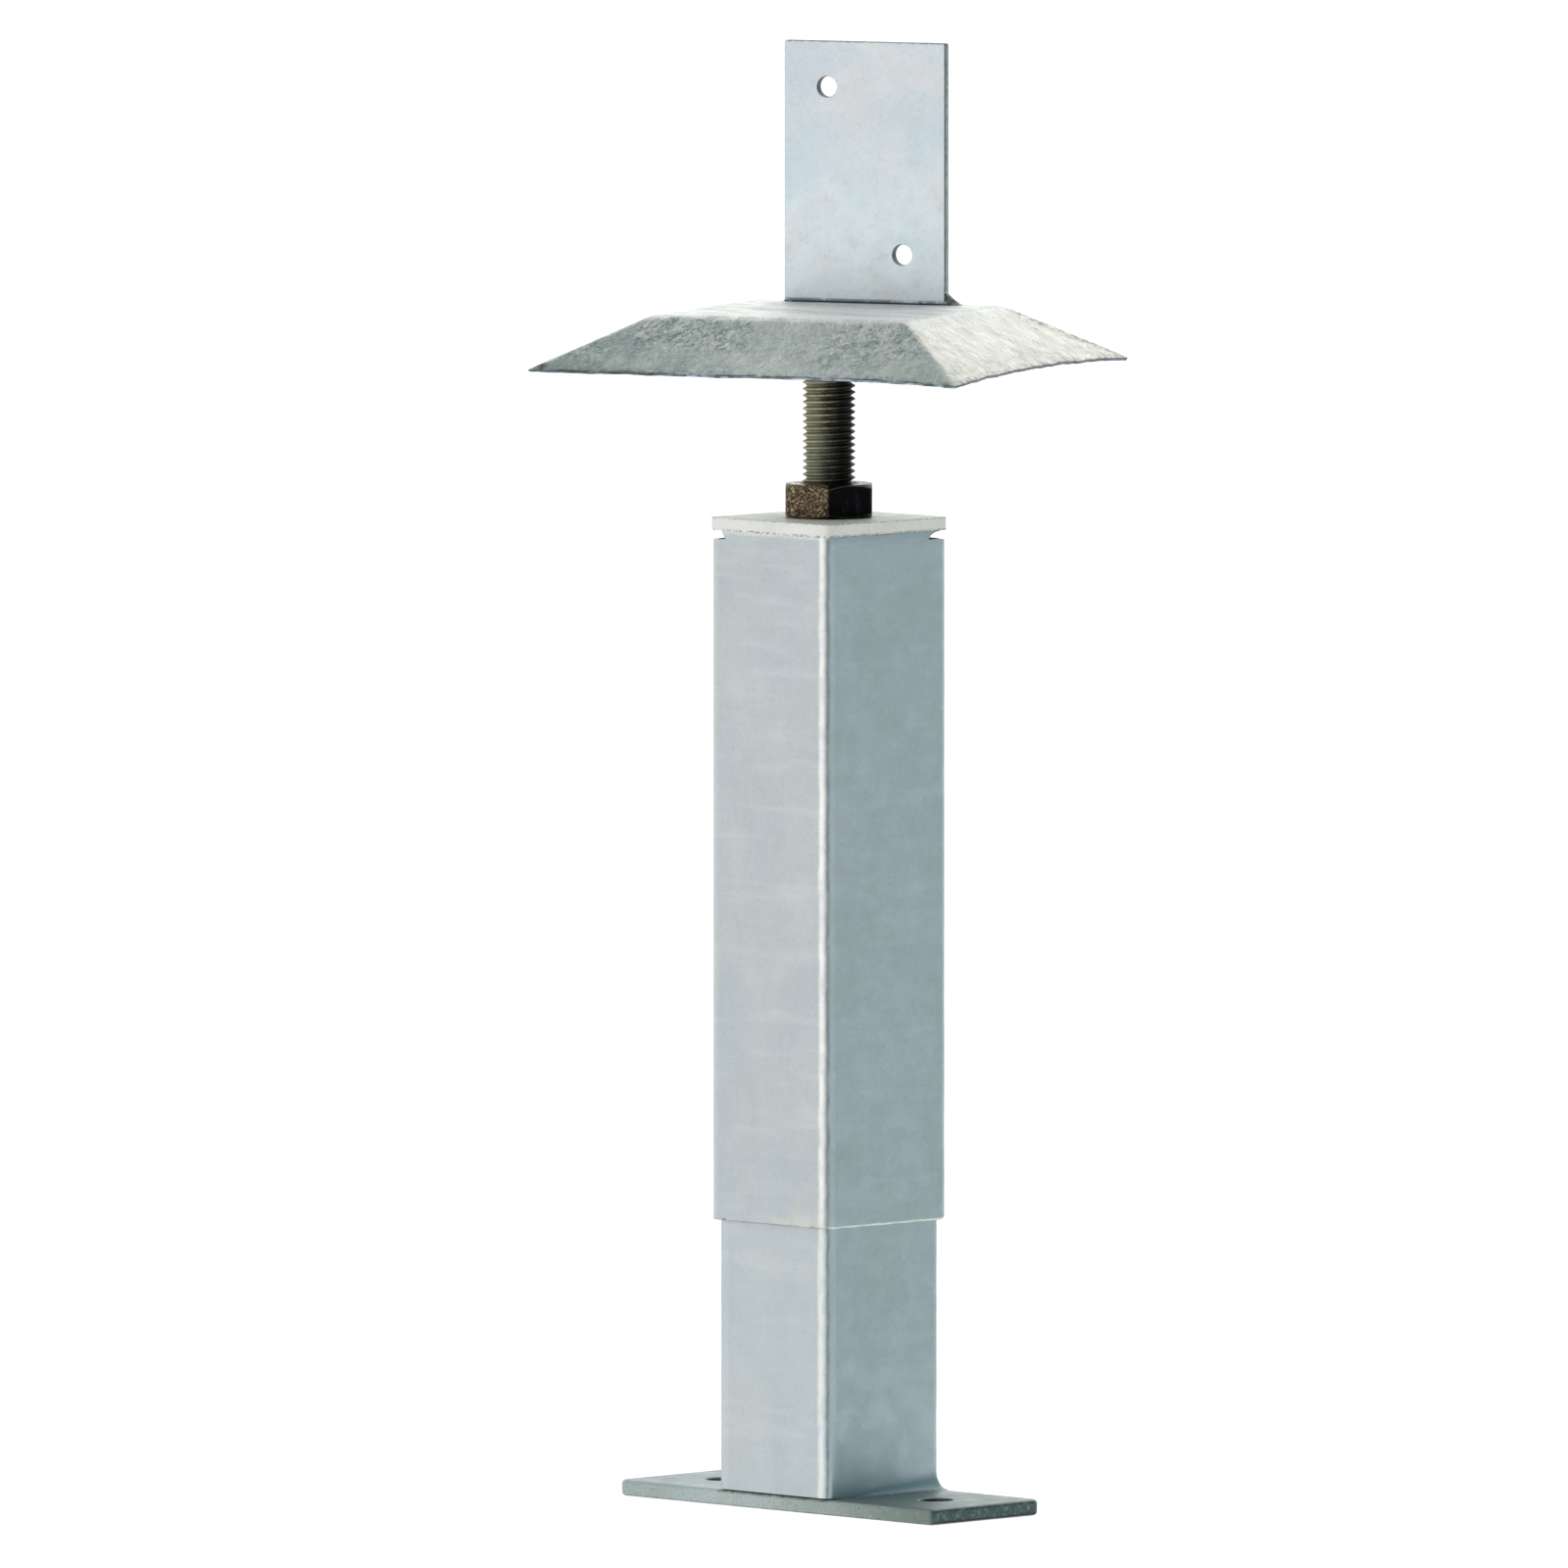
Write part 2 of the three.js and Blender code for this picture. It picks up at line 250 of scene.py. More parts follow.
def nut(name, af, z0, z1, bore, phase, body_r=None, per=16, wob=0.0, seed=0.0):
    """Hexagonal nut: corners turned off at both ends, chamfered bore, soft edges. phase is one corner's direction."""
    h = z1 - z0
    ri = af / 2 * 0.985
    k30 = math.tan(math.radians(30))
    n = 6 * per
    verts, faces = [], []
    rows = None
    for i in range(n):
        a = 2 * math.pi * i / n
        rel = (a % (math.pi / 3)) - math.pi / 6
        R = (af / 2) / math.cos(rel)
        # round the six long edges a little
        Rmax = af / math.sqrt(3) - 0.35
        R = min(R, Rmax + 0.0)
        drop = max(0.0, (R - ri) * k30)
        e = 0.18
        prof = [
            (bore / 2, z0 + 1.0), (bore / 2 + 1.0, z0 + 0.02),
            (ri - 0.3, z0), (ri, z0 + 0.02),
        ]
        for t in (0.33, 0.66, 1.0):
            rr = ri + (R - e - ri) * t
            prof.append((max(rr, ri + 0.01 * t), z0 + max(0.03 * t, (rr - ri) * k30)))
        prof.append((R, z0 + drop + e))
        for t in (0.2, 0.4, 0.6, 0.8):
            prof.append((R, z0 + drop + e + (h - 2 * drop - 2 * e) * t))
        prof.append((R, z1 - drop - e))
        for t in (1.0, 0.66, 0.33):
            rr = ri + (R - e - ri) * t
            prof.append((max(rr, ri + 0.01 * t), z1 - max(0.03 * t, (rr - ri) * k30)))
        prof += [(ri, z1 - 0.02), (ri - 0.3, z1), (bore / 2 + 1.0, z1 - 0.02), (bore / 2, z1 - 1.0)]
        for t in (0.75, 0.5, 0.25):
            prof.append((bore / 2, z0 + 1.0 + (h - 2.0) * t))
        rows = len(prof)
        ang = a + phase - math.pi / 6 + math.pi / 6
        for (r, z) in prof:
            x, y = r * math.cos(ang), r * math.sin(ang)
            if wob:
                q = wob * fbm((x, y, z), 0.25, 2, seed)
                x, y = x + x / r * q, y + y / r * q
            verts.append((x, y, z))
    for i in range(n):
        j = (i + 1) % n
        for a in range(rows):
            b = (a + 1) % rows
            faces.append((i * rows + a, j * rows + a, j * rows + b, i * rows + b))
    ob = make(name, verts, faces, sharp=28)
    return weighted(ob)


def thread(name, r, pitch, z0, z1, seg=72, m=12, yaw=0.0, chamfer=1.8):
    """A right-hand 60 degree screw thread with flat crests and rounded roots, as one closed solid."""
    depth = 0.625 * pitch
    prof = []
    for j in range(m):
        t = j / m
        # crest flat of an eighth of the pitch at t = 0, straight flanks, rounded root
        d = abs(t - round(t))                     # 0 at the crest, 0.5 at the root
        k = (d - 0.0625) / (0.5 - 0.0625 - 0.09)
        k = min(max(k, 0.0), 1.0)
        prof.append(depth * (k if k < 0.85 else 0.85 + 0.15 * math.sin((k - 0.85) / 0.15 * math.pi / 2)))
    rows = int(math.ceil((z1 - z0) / pitch)) * m + 2 * m
    verts, faces = [], []
    for i in range(seg):
        th = 2 * math.pi * i / seg
        for q in range(rows):
            z = z0 + (q / m - 1 + i / seg) * pitch
            zc = min(max(z, z0), z1)
            # at a clamped end the radius is read from the section there
            ph = (zc - z0) / pitch - i / seg
            ph -= math.floor(ph)
            jj = ph * m
            j0 = int(jj) % m
            f = jj - int(jj)
            dd = prof[j0] * (1 - f) + prof[(j0 + 1) % m] * f
            rr = r - dd
            end = min(zc - z0, z1 - zc)
            if end < chamfer and chamfer > 0:
                rr = min(rr, r - (chamfer - end) * 1.0)
            nick = 0.035 * fbm((rr * math.cos(th) , rr * math.sin(th), zc), 0.55, 2, 3.1)
            rr += nick
            verts.append((rr * math.cos(th), rr * math.sin(th), zc))
    for i in range(seg):
        j = (i + 1) % seg
        for q in range(rows - 1):
            if j == 0:
                # one turn on, the helix has climbed a pitch
                a0, a1 = q, q + 1
                b0, b1 = q + m, q + m + 1
                if b1 >= rows:
                    continue
                faces.append((i * rows + a0, b0, b1, i * rows + a1))
            else:
                faces.append((i * rows + q, j * rows + q, j * rows + q + 1, i * rows + q + 1))
    me_name = name
    ob = make(me_name, verts, faces, yaw=yaw)
    # close the two ends
    bm = bmesh.new()
    bm.from_mesh(ob.data)
    bmesh.ops.dissolve_degenerate(bm, edges=bm.edges, dist=1e-7)
    bmesh.ops.holes_fill(bm, edges=[e for e in bm.edges if e.is_boundary], sides=0)
    bmesh.ops.recalc_face_normals(bm, faces=bm.faces)
    bm.to_mesh(ob.data)
    bm.free()
    ob.data.shade_smooth()
    ob.data.set_sharp_from_angle(angle=math.radians(50))
    return ob


def bead_path(name, path, up, out, leg_out, leg_up, concave=0.35, ripple=0.12, pitch=1.6, seg=9, seed=1.0, taper=2.0, step=0.28, yaw=0.0, jitter=0.12, grow=None):
    """A fillet weld bead along a straight or bent path: path points, with per-point up and out directions. Ripples run across it."""
    path = [np.array(p, float) for p in path]
    L = [0.0]
    for a, b in zip(path, path[1:]):
        L.append(L[-1] + np.linalg.norm(b - a))
    total = L[-1]
    n = max(8, int(total / step))
    verts, faces = [], []
    for i in range(n + 1):
        s = total * i / n
        k = max(j for j in range(len(L) - 1) if L[j] <= s + 1e-9)
        f = (s - L[k]) / max(L[k + 1] - L[k], 1e-9)
        p = path[k] * (1 - f) + path[k + 1] * f
        o = np.array(out[k], float) * (1 - f) + np.array(out[k + 1], float) * f
        o /= np.linalg.norm(o)
        u = np.array(up, float)
        end = min(s, total - s)
        e = math.sin(min(1.0, end / taper) * math.pi / 2) if taper > 0 else 1.0
        e = 0.25 + 0.75 * e
        if grow:
            k_ = min(max((s - grow[0]) / (grow[1] - grow[0]), 0.0), 1.0)
            e = (0.06 + 0.94 * k_) * (0.2 + 0.8 * min(1.0, (total - s) / max(taper, 0.1)))
        size = e * (1 + jitter * fbm((s, 0, 0), 0.16, 2, seed))
        saw = (s / pitch + 0.25 * fbm((s, 3, 1), 0.3, 1, seed)) % 1.0
        rip = ripple * (1 - abs(saw * 2 - 1)) ** 0.7
        verts.append(tuple(p - o * 0.05 - u * 0.05))
        for j in range(seg + 1):
            t = j / seg
            a = t * math.pi / 2
            # between a straight fillet face and a hollow one
            x0, z0 = (1 - t) * leg_out, t * leg_up
            x1, z1 = leg_out * (1 - math.sin(a)), leg_up * (1 - math.cos(a))
            x = x0 * (1 - concave) + x1 * concave
            z = z0 * (1 - concave) + z1 * concave
            bulge = rip * math.sin(math.pi * t)
            q = p + o * (x * size + bulge * 0.7) + u * (z * size + bulge * 0.7)
            verts.append(tuple(q))
    m = seg + 2
    for i in range(n):
        for j in range(m):
            j2 = (j + 1) % m
            faces.append((i * m + j, (i + 1) * m + j, (i + 1) * m + j2, i * m + j2))
    faces.append(tuple(range(m)))
    faces.append(tuple(n * m + j for j in reversed(range(m))))
    return make(name, verts, faces, yaw=yaw, sharp=60)


# ------------------------------------------------------------------- materials
def srgb(r, g, b):
    f = lambda c: (c / 255 / 12.92) if c / 255 <= 0.04045 else ((c / 255 + 0.055) / 1.055) ** 2.4
    return (f(r), f(g), f(b), 1.0)


class Nodes:
    def __init__(self, name):
        self.mat = bpy.data.materials.new(name)
        self.mat.use_nodes = True
        self.t = self.mat.node_tree
        self.t.nodes.clear()
        self.out = self.t.nodes.new("ShaderNodeOutputMaterial")
        self.b = self.t.nodes.new("ShaderNodeBsdfPrincipled")
        self.t.links.new(self.b.outputs[0], self.out.inputs[0])
        self.tc = self.t.nodes.new("ShaderNodeTexCoord")
        self.obj = self.tc.outputs["Object"]

    def n(self, kind, **kw):
        x = self.t.nodes.new(kind)
        for k, v in kw.items():
            setattr(x, k, v)
        return x

    def link(self, a, b):
        self.t.links.new(a, b)

    def mapping(self, scale=(1, 1, 1), rot=(0, 0, 0), loc=(0, 0, 0)):
        m = self.n("ShaderNodeMapping")
        m.inputs["Scale"].default_value = scale
        m.inputs["Rotation"].default_value = rot
        m.inputs["Location"].default_value = loc
        self.link(self.obj, m.inputs["Vector"])
        return m.outputs[0]

    def noise(self, scale, detail=4, rough=0.55, vec=None, distort=0.0, dims="3D"):
        x = self.n("ShaderNodeTexNoise", noise_dimensions=dims)
        x.inputs["Scale"].default_value = scale
        x.inputs["Detail"].default_value = detail
        x.inputs["Roughness"].default_value = rough
        x.inputs["Distortion"].default_value = distort
        self.link(vec or self.obj, x.inputs["Vector"])
        return x.outputs["Fac"]

    def voronoi(self, scale, feature="F1", vec=None, rand=1.0, out="Distance"):
        x = self.n("ShaderNodeTexVoronoi", feature=feature)
        x.inputs["Scale"].default_value = scale
        x.inputs["Randomness"].default_value = rand
        self.link(vec or self.obj, x.inputs["Vector"])
        return x.outputs[out]

    def ramp(self, fac, lo, hi, a=0.0, b=1.0, smooth=True):
        x = self.n("ShaderNodeMapRange", interpolation_type="SMOOTHSTEP" if smooth else "LINEAR")
        x.inputs["From Min"].default_value = lo
        x.inputs["From Max"].default_value = hi
        x.inputs["To Min"].default_value = a
        x.inputs["To Max"].default_value = b
        self.link(fac, x.inputs["Value"])
        return x.outputs[0]

    def math(self, op, a, b=None, c=None, clamp=False):
        x = self.n("ShaderNodeMath", operation=op, use_clamp=clamp)
        for i, v in enumerate((a, b, c)):
            if v is None:
                continue
            if isinstance(v, (int, float)):
                x.inputs[i].default_value = v
            else:
                self.link(v, x.inputs[i])
        return x.outputs[0]

    def mix(self, fac, a, b, blend="MIX"):
        x = self.n("ShaderNodeMix", data_type="RGBA", blend_type=blend)
        x.clamp_factor = True
        f, ca, cb = x.inputs[0], x.inputs[6], x.inputs[7]
        for s, v in ((f, fac), (ca, a), (cb, b)):
            if isinstance(v, (int, float)):
                s.default_value = v
            elif isinstance(v, tuple):
                s.default_value = v
            else:
                self.link(v, s)
        return x.outputs[2]

    def axis(self, vec=None, which=0):
        x = self.n("ShaderNodeSeparateXYZ")
        self.link(vec or self.obj, x.inputs[0])
        return x.outputs[which]

    def attr(self, name):
        x = self.n("ShaderNodeAttribute", attribute_name=name)
        return x.outputs["Fac"]

    def bump(self, height, strength, distance, normal=None):
        x = self.n("ShaderNodeBump")
        x.inputs["Strength"].default_value = strength
        x.inputs["Distance"].default_value = distance
        self.link(height, x.inputs["Height"])
        if normal is not None:
            self.link(normal, x.inputs["Normal"])
        return x.outputs[0]

    def block_edge(self, hx, hy, z0, z1, r, yaw=0.0, cx=0.0, cy=0.0):
        """1 on the edges of an upright block, falling to 0 at a distance r along its faces. Sizes in millimetres."""
        v = self.mapping(rot=(0, 0, -yaw)) if yaw else self.obj
        dx = self.math("SUBTRACT", hx * MM, self.math("ABSOLUTE", self.math("SUBTRACT", self.axis(v, 0), cx * MM)))
        dy = self.math("SUBTRACT", hy * MM, self.math("ABSOLUTE", self.math("SUBTRACT", self.axis(v, 1), cy * MM)))
        z = self.axis(v, 2)
        dz = self.math("MINIMUM", self.math("SUBTRACT", z, z0 * MM), self.math("SUBTRACT", z1 * MM, z))
        lo = self.math("MINIMUM", dx, dy)
        hi = self.math("MAXIMUM", dx, dy)
        mid = self.math("MAXIMUM", lo, self.math("MINIMUM", hi, dz))
        return self.ramp(mid, r * MM, 0.0)

    def edge(self, radius, lo=0.35, hi=0.95):
        """0 on flat ground to 1 on an edge, by comparing the rounded normal with the true one."""
        bv = self.n("ShaderNodeBevel", samples=6)
        bv.inputs["Radius"].default_value = radius
        g = self.n("ShaderNodeNewGeometry")
        d = self.n("ShaderNodeVectorMath", operation="DOT_PRODUCT")
        self.link(bv.outputs[0], d.inputs[0])
        self.link(g.outputs["Normal"], d.inputs[1])
        return self.ramp(d.outputs["Value"], 1.0, 0.90, 0.0, 1.0)


def zinc(name, base, second, third, metallic=0.72, rough=0.42, mottle=1.0, grain=1.0, pits=1.0,
         streak=0.5, bump=1.0, dent=0.0, speck=(0.02, 0.018, 0.012, 1), edge_col=None, edge_amt=0.5,
         pre=None, edge_r=0.7, rough_var=0.12, spec=0.5, block=None, corner_gloss=0.0):
    """Hot-dip zinc: broad mottled patches, fine crystal grain, drawn-out streaks, small dark pits and worn edges."""
    N = Nodes(name)
    big = N.noise(26, 4, 0.6, distort=0.6)
    mid = N.noise(120, 5, 0.62, distort=0.4)
    fine = N.noise(900, 4, 0.6)
    st = N.noise(9, 4, 0.55, vec=N.mapping((14, 14, 1.2)))
    col = N.mix(N.ramp(big, 0.36, 0.66), base, second)
    col = N.mix(N.math("MULTIPLY", N.ramp(mid, 0.42, 0.72), 0.55 * mottle), col, third)
    col = N.mix(N.math("MULTIPLY", N.ramp(st, 0.45, 0.75), 0.35 * streak), col, second)
    # crystal flecks
    cell = N.voronoi(700, out="Color")
    cg = N.n("ShaderNodeRGBToBW")
    N.link(cell, cg.inputs[0])
    col = N.mix(N.math("MULTIPLY", N.ramp(cg.outputs[0], 0.2, 0.9), 0.10 * grain), col, tuple(min(1, c * 1.25) for c in base[:3]) + (1,))
    col = N.mix(N.math("MULTIPLY", N.ramp(fine, 0.35, 0.75), 0.16 * grain), col, tuple(c * 0.72 for c in base[:3]) + (1,))
    if pre:
        col = pre(N, col)
    # pits and specks: dots of uneven size, thinned out by broad noise
    d1 = N.voronoi(330, rand=1.0)
    m1 = N.ramp(N.noise(60, 2, 0.5), 0.50, 0.66)
    p1 = N.math("MULTIPLY", N.ramp(d1, 0.16, 0.07), m1)
    d2 = N.voronoi(900, rand=1.0)
    m2 = N.ramp(N.noise(95, 3, 0.6), 0.52, 0.70)
    p2 = N.math("MULTIPLY", N.ramp(d2, 0.26, 0.14), m2)
    pit = N.math("MAXIMUM", p1, N.math("MULTIPLY", p2, 0.6))
    pit = N.math("MULTIPLY", pit, 0.62 * pits, clamp=True)
    col = N.mix(pit, col, speck)
    if edge_col is not None and block is not None:
        e = N.block_edge(*block[:4], edge_r, *block[4:])
        e = N.math("MULTIPLY", e, N.ramp(N.noise(240, 3, 0.6), 0.25, 0.6, 0.35, 1.0))
        col = N.mix(N.math("MULTIPLY", e, edge_amt), col, edge_col)
    N.link(col, N.b.inputs["Base Color"])
    N.b.inputs["Metallic"].default_value = metallic
    N.b.inputs["Specular IOR Level"].default_value = spec
    r = N.math("ADD", N.ramp(mid, 0.3, 0.7, rough - rough_var / 2, rough + rough_var / 2), N.ramp(fine, 0.3, 0.7, -0.03, 0.05))
    r = N.math("ADD", r, N.math("MULTIPLY", pit, 0.25))
    if corner_gloss:
        # rolled corners are smoother than the flats
        dx = N.math("SUBTRACT", block[0] * MM, N.math("ABSOLUTE", N.axis(which=0)))
        dy = N.math("SUBTRACT", block[1] * MM, N.math("ABSOLUTE", N.axis(which=1)))
        far = N.math("MAXIMUM", dx, dy)
        r = N.math("SUBTRACT", r, N.math("MULTIPLY", N.ramp(far, 4.2 * MM, 3.0 * MM), corner_gloss))
    N.link(r, N.b.inputs["Roughness"])
    # relief
    h1 = N.math("MULTIPLY", N.noise(140, 4, 0.6, distort=0.3), 1.0)
    b1 = N.bump(h1, 0.25 * bump, 0.0006)
    h2 = N.noise(1500, 3, 0.6)
    b2 = N.bump(h2, 0.20 * bump, 0.00012, b1)
    hp = N.math("SUBTRACT", 1.0, pit)
    b3 = N.bump(hp, 0.6, 0.0001, b2)
    if dent:
        hd = N.noise(330, 5, 0.62, vec=N.mapping((1, 1, 0.6), rot=(0.2, 0.4, 0.5)), distort=1.4)
        b3 = N.bump(hd, dent, 0.0010, b3)
        hd2 = N.noise(90, 3, 0.55, distort=0.8)
        b3 = N.bump(hd2, dent * 0.6, 0.0020, b3)
        hd3 = N.noise(240, 6, 0.62, distort=0.5)
        b3 = N.bump(hd3, dent * 0.7, 0.0012, b3)
    N.link(b3, N.b.inputs["Normal"])
    return N.mat


def dark_steel(name, base, hi, lo, metallic=0.8, rough=0.42, speckle=1.0, edge_col=None, spk_scale=620, sheen=(0.6, 0.5, 0.36, 1), pre=None, edge_r=0.00045):
    N = Nodes(name)
    a = N.noise(150, 4, 0.6, distort=0.5)
    b = N.noise(spk_scale, 5, 0.7)
    col = N.mix(N.ramp(a, 0.35, 0.68), base, lo)
    col = N.mix(N.math("MULTIPLY", N.ramp(b, 0.52, 0.68), 0.85 * speckle), col, hi)
    v = N.voronoi(spk_scale * 1.3, rand=1.0)
    col = N.mix(N.math("MULTIPLY", N.math("MULTIPLY", N.ramp(v, 0.24, 0.10), N.ramp(N.noise(210, 2, 0.5), 0.48, 0.62)), 0.9 * speckle), col, sheen)
    if pre:
        col = pre(N, col)
    if edge_col is not None:
        e = N.edge(edge_r)
        col = N.mix(N.math("MULTIPLY", e, N.ramp(N.noise(420, 3, 0.6), 0.3, 0.6, 0.25, 0.95)), col, edge_col)
    N.link(col, N.b.inputs["Base Color"])
    N.b.inputs["Metallic"].default_value = metallic
    N.link(N.ramp(b, 0.3, 0.7, rough - 0.10, rough + 0.16), N.b.inputs["Roughness"])
    h = N.noise(1100, 4, 0.65)
    bb = N.bump(h, 0.55, 0.00014)
    bb = N.bump(a, 0.3, 0.0004, bb)
    N.link(bb, N.b.inputs["Normal"])
    return N.mat


# the sleeve and inner tube: cool satin zinc, a painted highlight and a dark painted reflection line at the rolled
# corners, painted shade on the right-hand face, rust-brown flecks on the cut end
def tube_marks(half, zlow, fleck, corner_highlight_amt=0.80, off=3.85):
    def f(N, col):
        z = N.axis(which=2)
        x, y = N.math("ABSOLUTE", N.axis(which=0)), N.math("ABSOLUTE", N.axis(which=1))
        # roller bands across and long drawn streaks up the faces
        w = N.noise(70, 4, 0.6, vec=N.mapping((0.30, 0.30, 2.4)))
        col = N.mix(N.math("MULTIPLY", N.ramp(w, 0.48, 0.72), 0.30), col, srgb(210, 213, 214))
        w2 = N.noise(38, 4, 0.6, vec=N.mapping((1.4, 1.4, 0.35)), distort=0.4)
        col = N.mix(N.math("MULTIPLY", N.ramp(w2, 0.46, 0.70), 0.30), col, srgb(176, 190, 200))
        w3 = N.noise(22, 5, 0.6, distort=0.8)
        col = N.mix(N.math("MULTIPLY", N.ramp(w3, 0.50, 0.72), 0.25), col, srgb(206, 206, 200))
        # painted highlight: a pale, dotted line on one side of each rolled corner, strongest on the front right one;
        # beside it a softer painted highlight and a dark painted reflection line
        t = N.math("MAXIMUM", N.math("SUBTRACT", half * MM, x), N.math("SUBTRACT", half * MM, y))
        near_c = N.ramp(t, 9.0 * MM, 6.5 * MM)
        q = N.math("SUBTRACT", x, y)
        wob = N.ramp(N.noise(110, 3, 0.6), 0.3, 0.7, -0.30 * MM, 0.30 * MM)
        d = N.math("ABSOLUTE", N.math("ADD", N.math("ADD", q, wob), off * MM))
        which = N.math("MULTIPLY", N.ramp(N.axis(which=0), -1.0 * MM, 1.0 * MM), N.ramp(N.axis(which=1), 1.0 * MM, -1.0 * MM))
        which = N.math("ADD", N.math("MULTIPLY", which, 0.86), 0.14)
        corner_highlight = N.math("MULTIPLY", N.ramp(d, 2.5 * MM, 0.3 * MM), N.ramp(N.noise(170, 3, 0.6), 0.28, 0.62, 0.62, 1.0))
        corner_highlight = N.math("MULTIPLY", N.math("MULTIPLY", corner_highlight, near_c), which)
        col = N.mix(N.math("MULTIPLY", corner_highlight, corner_highlight_amt), col, srgb(252, 250, 246))
        soft = N.ramp(N.math("ABSOLUTE", N.math("SUBTRACT", q, 2.3 * MM)), 1.8 * MM, 0.4 * MM)
        near_c = N.math("MULTIPLY", near_c, which)
        col = N.mix(N.math("MULTIPLY", N.math("MULTIPLY", soft, near_c), 0.24), col, srgb(222, 232, 234))
        corner_dark_reflection = N.ramp(N.math("ABSOLUTE", N.math("ADD", N.math("ADD", q, wob), 0.55 * MM)), 1.5 * MM, 0.25 * MM)
        corner_dark_reflection = N.math("MULTIPLY", N.math("MULTIPLY", corner_dark_reflection, near_c), N.ramp(N.noise(140, 3, 0.6), 0.30, 0.62, 0.6, 1.0))
        col = N.mix(N.math("MULTIPLY", corner_dark_reflection, 0.66), col, srgb(98, 114, 116))
        # painted shade: the right-hand face is coloured a little darker and bluer
        g = N.n("ShaderNodeNewGeometry")
        fx = N.ramp(N.axis(vec=g.outputs["Normal"], which=0), 0.55, 0.9)
        col = N.mix(N.math("MULTIPLY", fx, 0.46), col, srgb(150, 176, 184))
        pt = N.ramp(N.noise(26, 4, 0.6, distort=0.6), 0.44, 0.62)
        col = N.mix(N.math("MULTIPLY", N.math("MULTIPLY", pt, fx), 0.32), col, srgb(164, 182, 172))
        # painted light: the right-hand face is coloured lighter towards its foot
        foot = N.math("MULTIPLY", N.ramp(z, 75.0 * MM, 8.0 * MM), fx)
        col = N.mix(N.math("MULTIPLY", foot, 0.42), col, srgb(206, 222, 226))
        if fleck:
            n1 = N.noise(300, 3, 0.6, vec=N.mapping((1, 1, 0.5)))
            near = N.ramp(z, (zlow + 1.5) * MM, (zlow + 0.2) * MM)
            left = N.math("SUBTRACT", 1.0, fx)
            k = N.math("MULTIPLY", N.math("MULTIPLY", near, N.ramp(n1, 0.60, 0.68)), left)
            col = N.mix(N.math("MULTIPLY", k, 0.8), col, srgb(122, 104, 82))
            bl = N.math("MULTIPLY", N.math("MULTIPLY", N.ramp(z, (zlow + 9) * MM, zlow * MM), N.ramp(N.noise(46, 3, 0.6), 0.50, 0.62)), left)
            col = N.mix(N.math("MULTIPLY", bl, 0.45), col, srgb(216, 214, 198))
            low = N.math("MULTIPLY", N.ramp(z, (zlow + 0.50) * MM, (zlow + 0.22) * MM), N.ramp(N.noise(120, 3, 0.6), 0.35, 0.60, 0.35, 1.0))
            col = N.mix(N.math("MULTIPLY", N.math("MULTIPLY", low, left), 0.75), col, srgb(142, 136, 122))
            # painted highlight: a thin bright line along the cut end of the right-hand face
            zz = N.math("ADD", z, N.ramp(N.noise(180, 3, 0.6), 0.3, 0.7, -0.12 * MM, 0.12 * MM))
            rim_highlight = N.ramp(N.math("ABSOLUTE", N.math("SUBTRACT", zz, (zlow + 0.45) * MM)), 0.55 * MM, 0.15 * MM)
            rim_highlight = N.math("MULTIPLY", N.math("MULTIPLY", rim_highlight, fx), N.ramp(N.noise(90, 3, 0.6), 0.30, 0.55, 0.45, 1.0))
            col = N.mix(N.math("MULTIPLY", rim_highlight, 0.85), col, srgb(244, 244, 236))
        return col
    return f


mat_sleeve = zinc("zinc_sleeve", srgb(188, 193, 195), srgb(180, 187, 190), srgb(195, 198, 199), metallic=0.80, rough=0.46,
                  mottle=1.0, pits=0.32, streak=0.6, bump=0.8, edge_col=srgb(228, 229, 226), edge_amt=0.05, edge_r=0.5,
                  block=(32.5, 32.5, OT_LO[2] - 9, OT_HI[2] + 9), corner_gloss=0.08,
                  pre=tube_marks(32.5, OT_LO[2], True))
mat_tube = zinc("zinc_inner_tube", srgb(188, 195, 197), srgb(180, 189, 192), srgb(195, 200, 201), metallic=0.80, rough=0.46,
                mottle=0.9, pits=0.32, streak=0.8, bump=0.8, edge_col=srgb(228, 229, 226), edge_amt=0.05, edge_r=0.5,
                block=(30.0, 30.0, IT_LO[2] - 9, IT_HI[2] + 9), corner_gloss=0.08,
                pre=tube_marks(30.0, IT_LO[2], False, 0.58, 4.4))


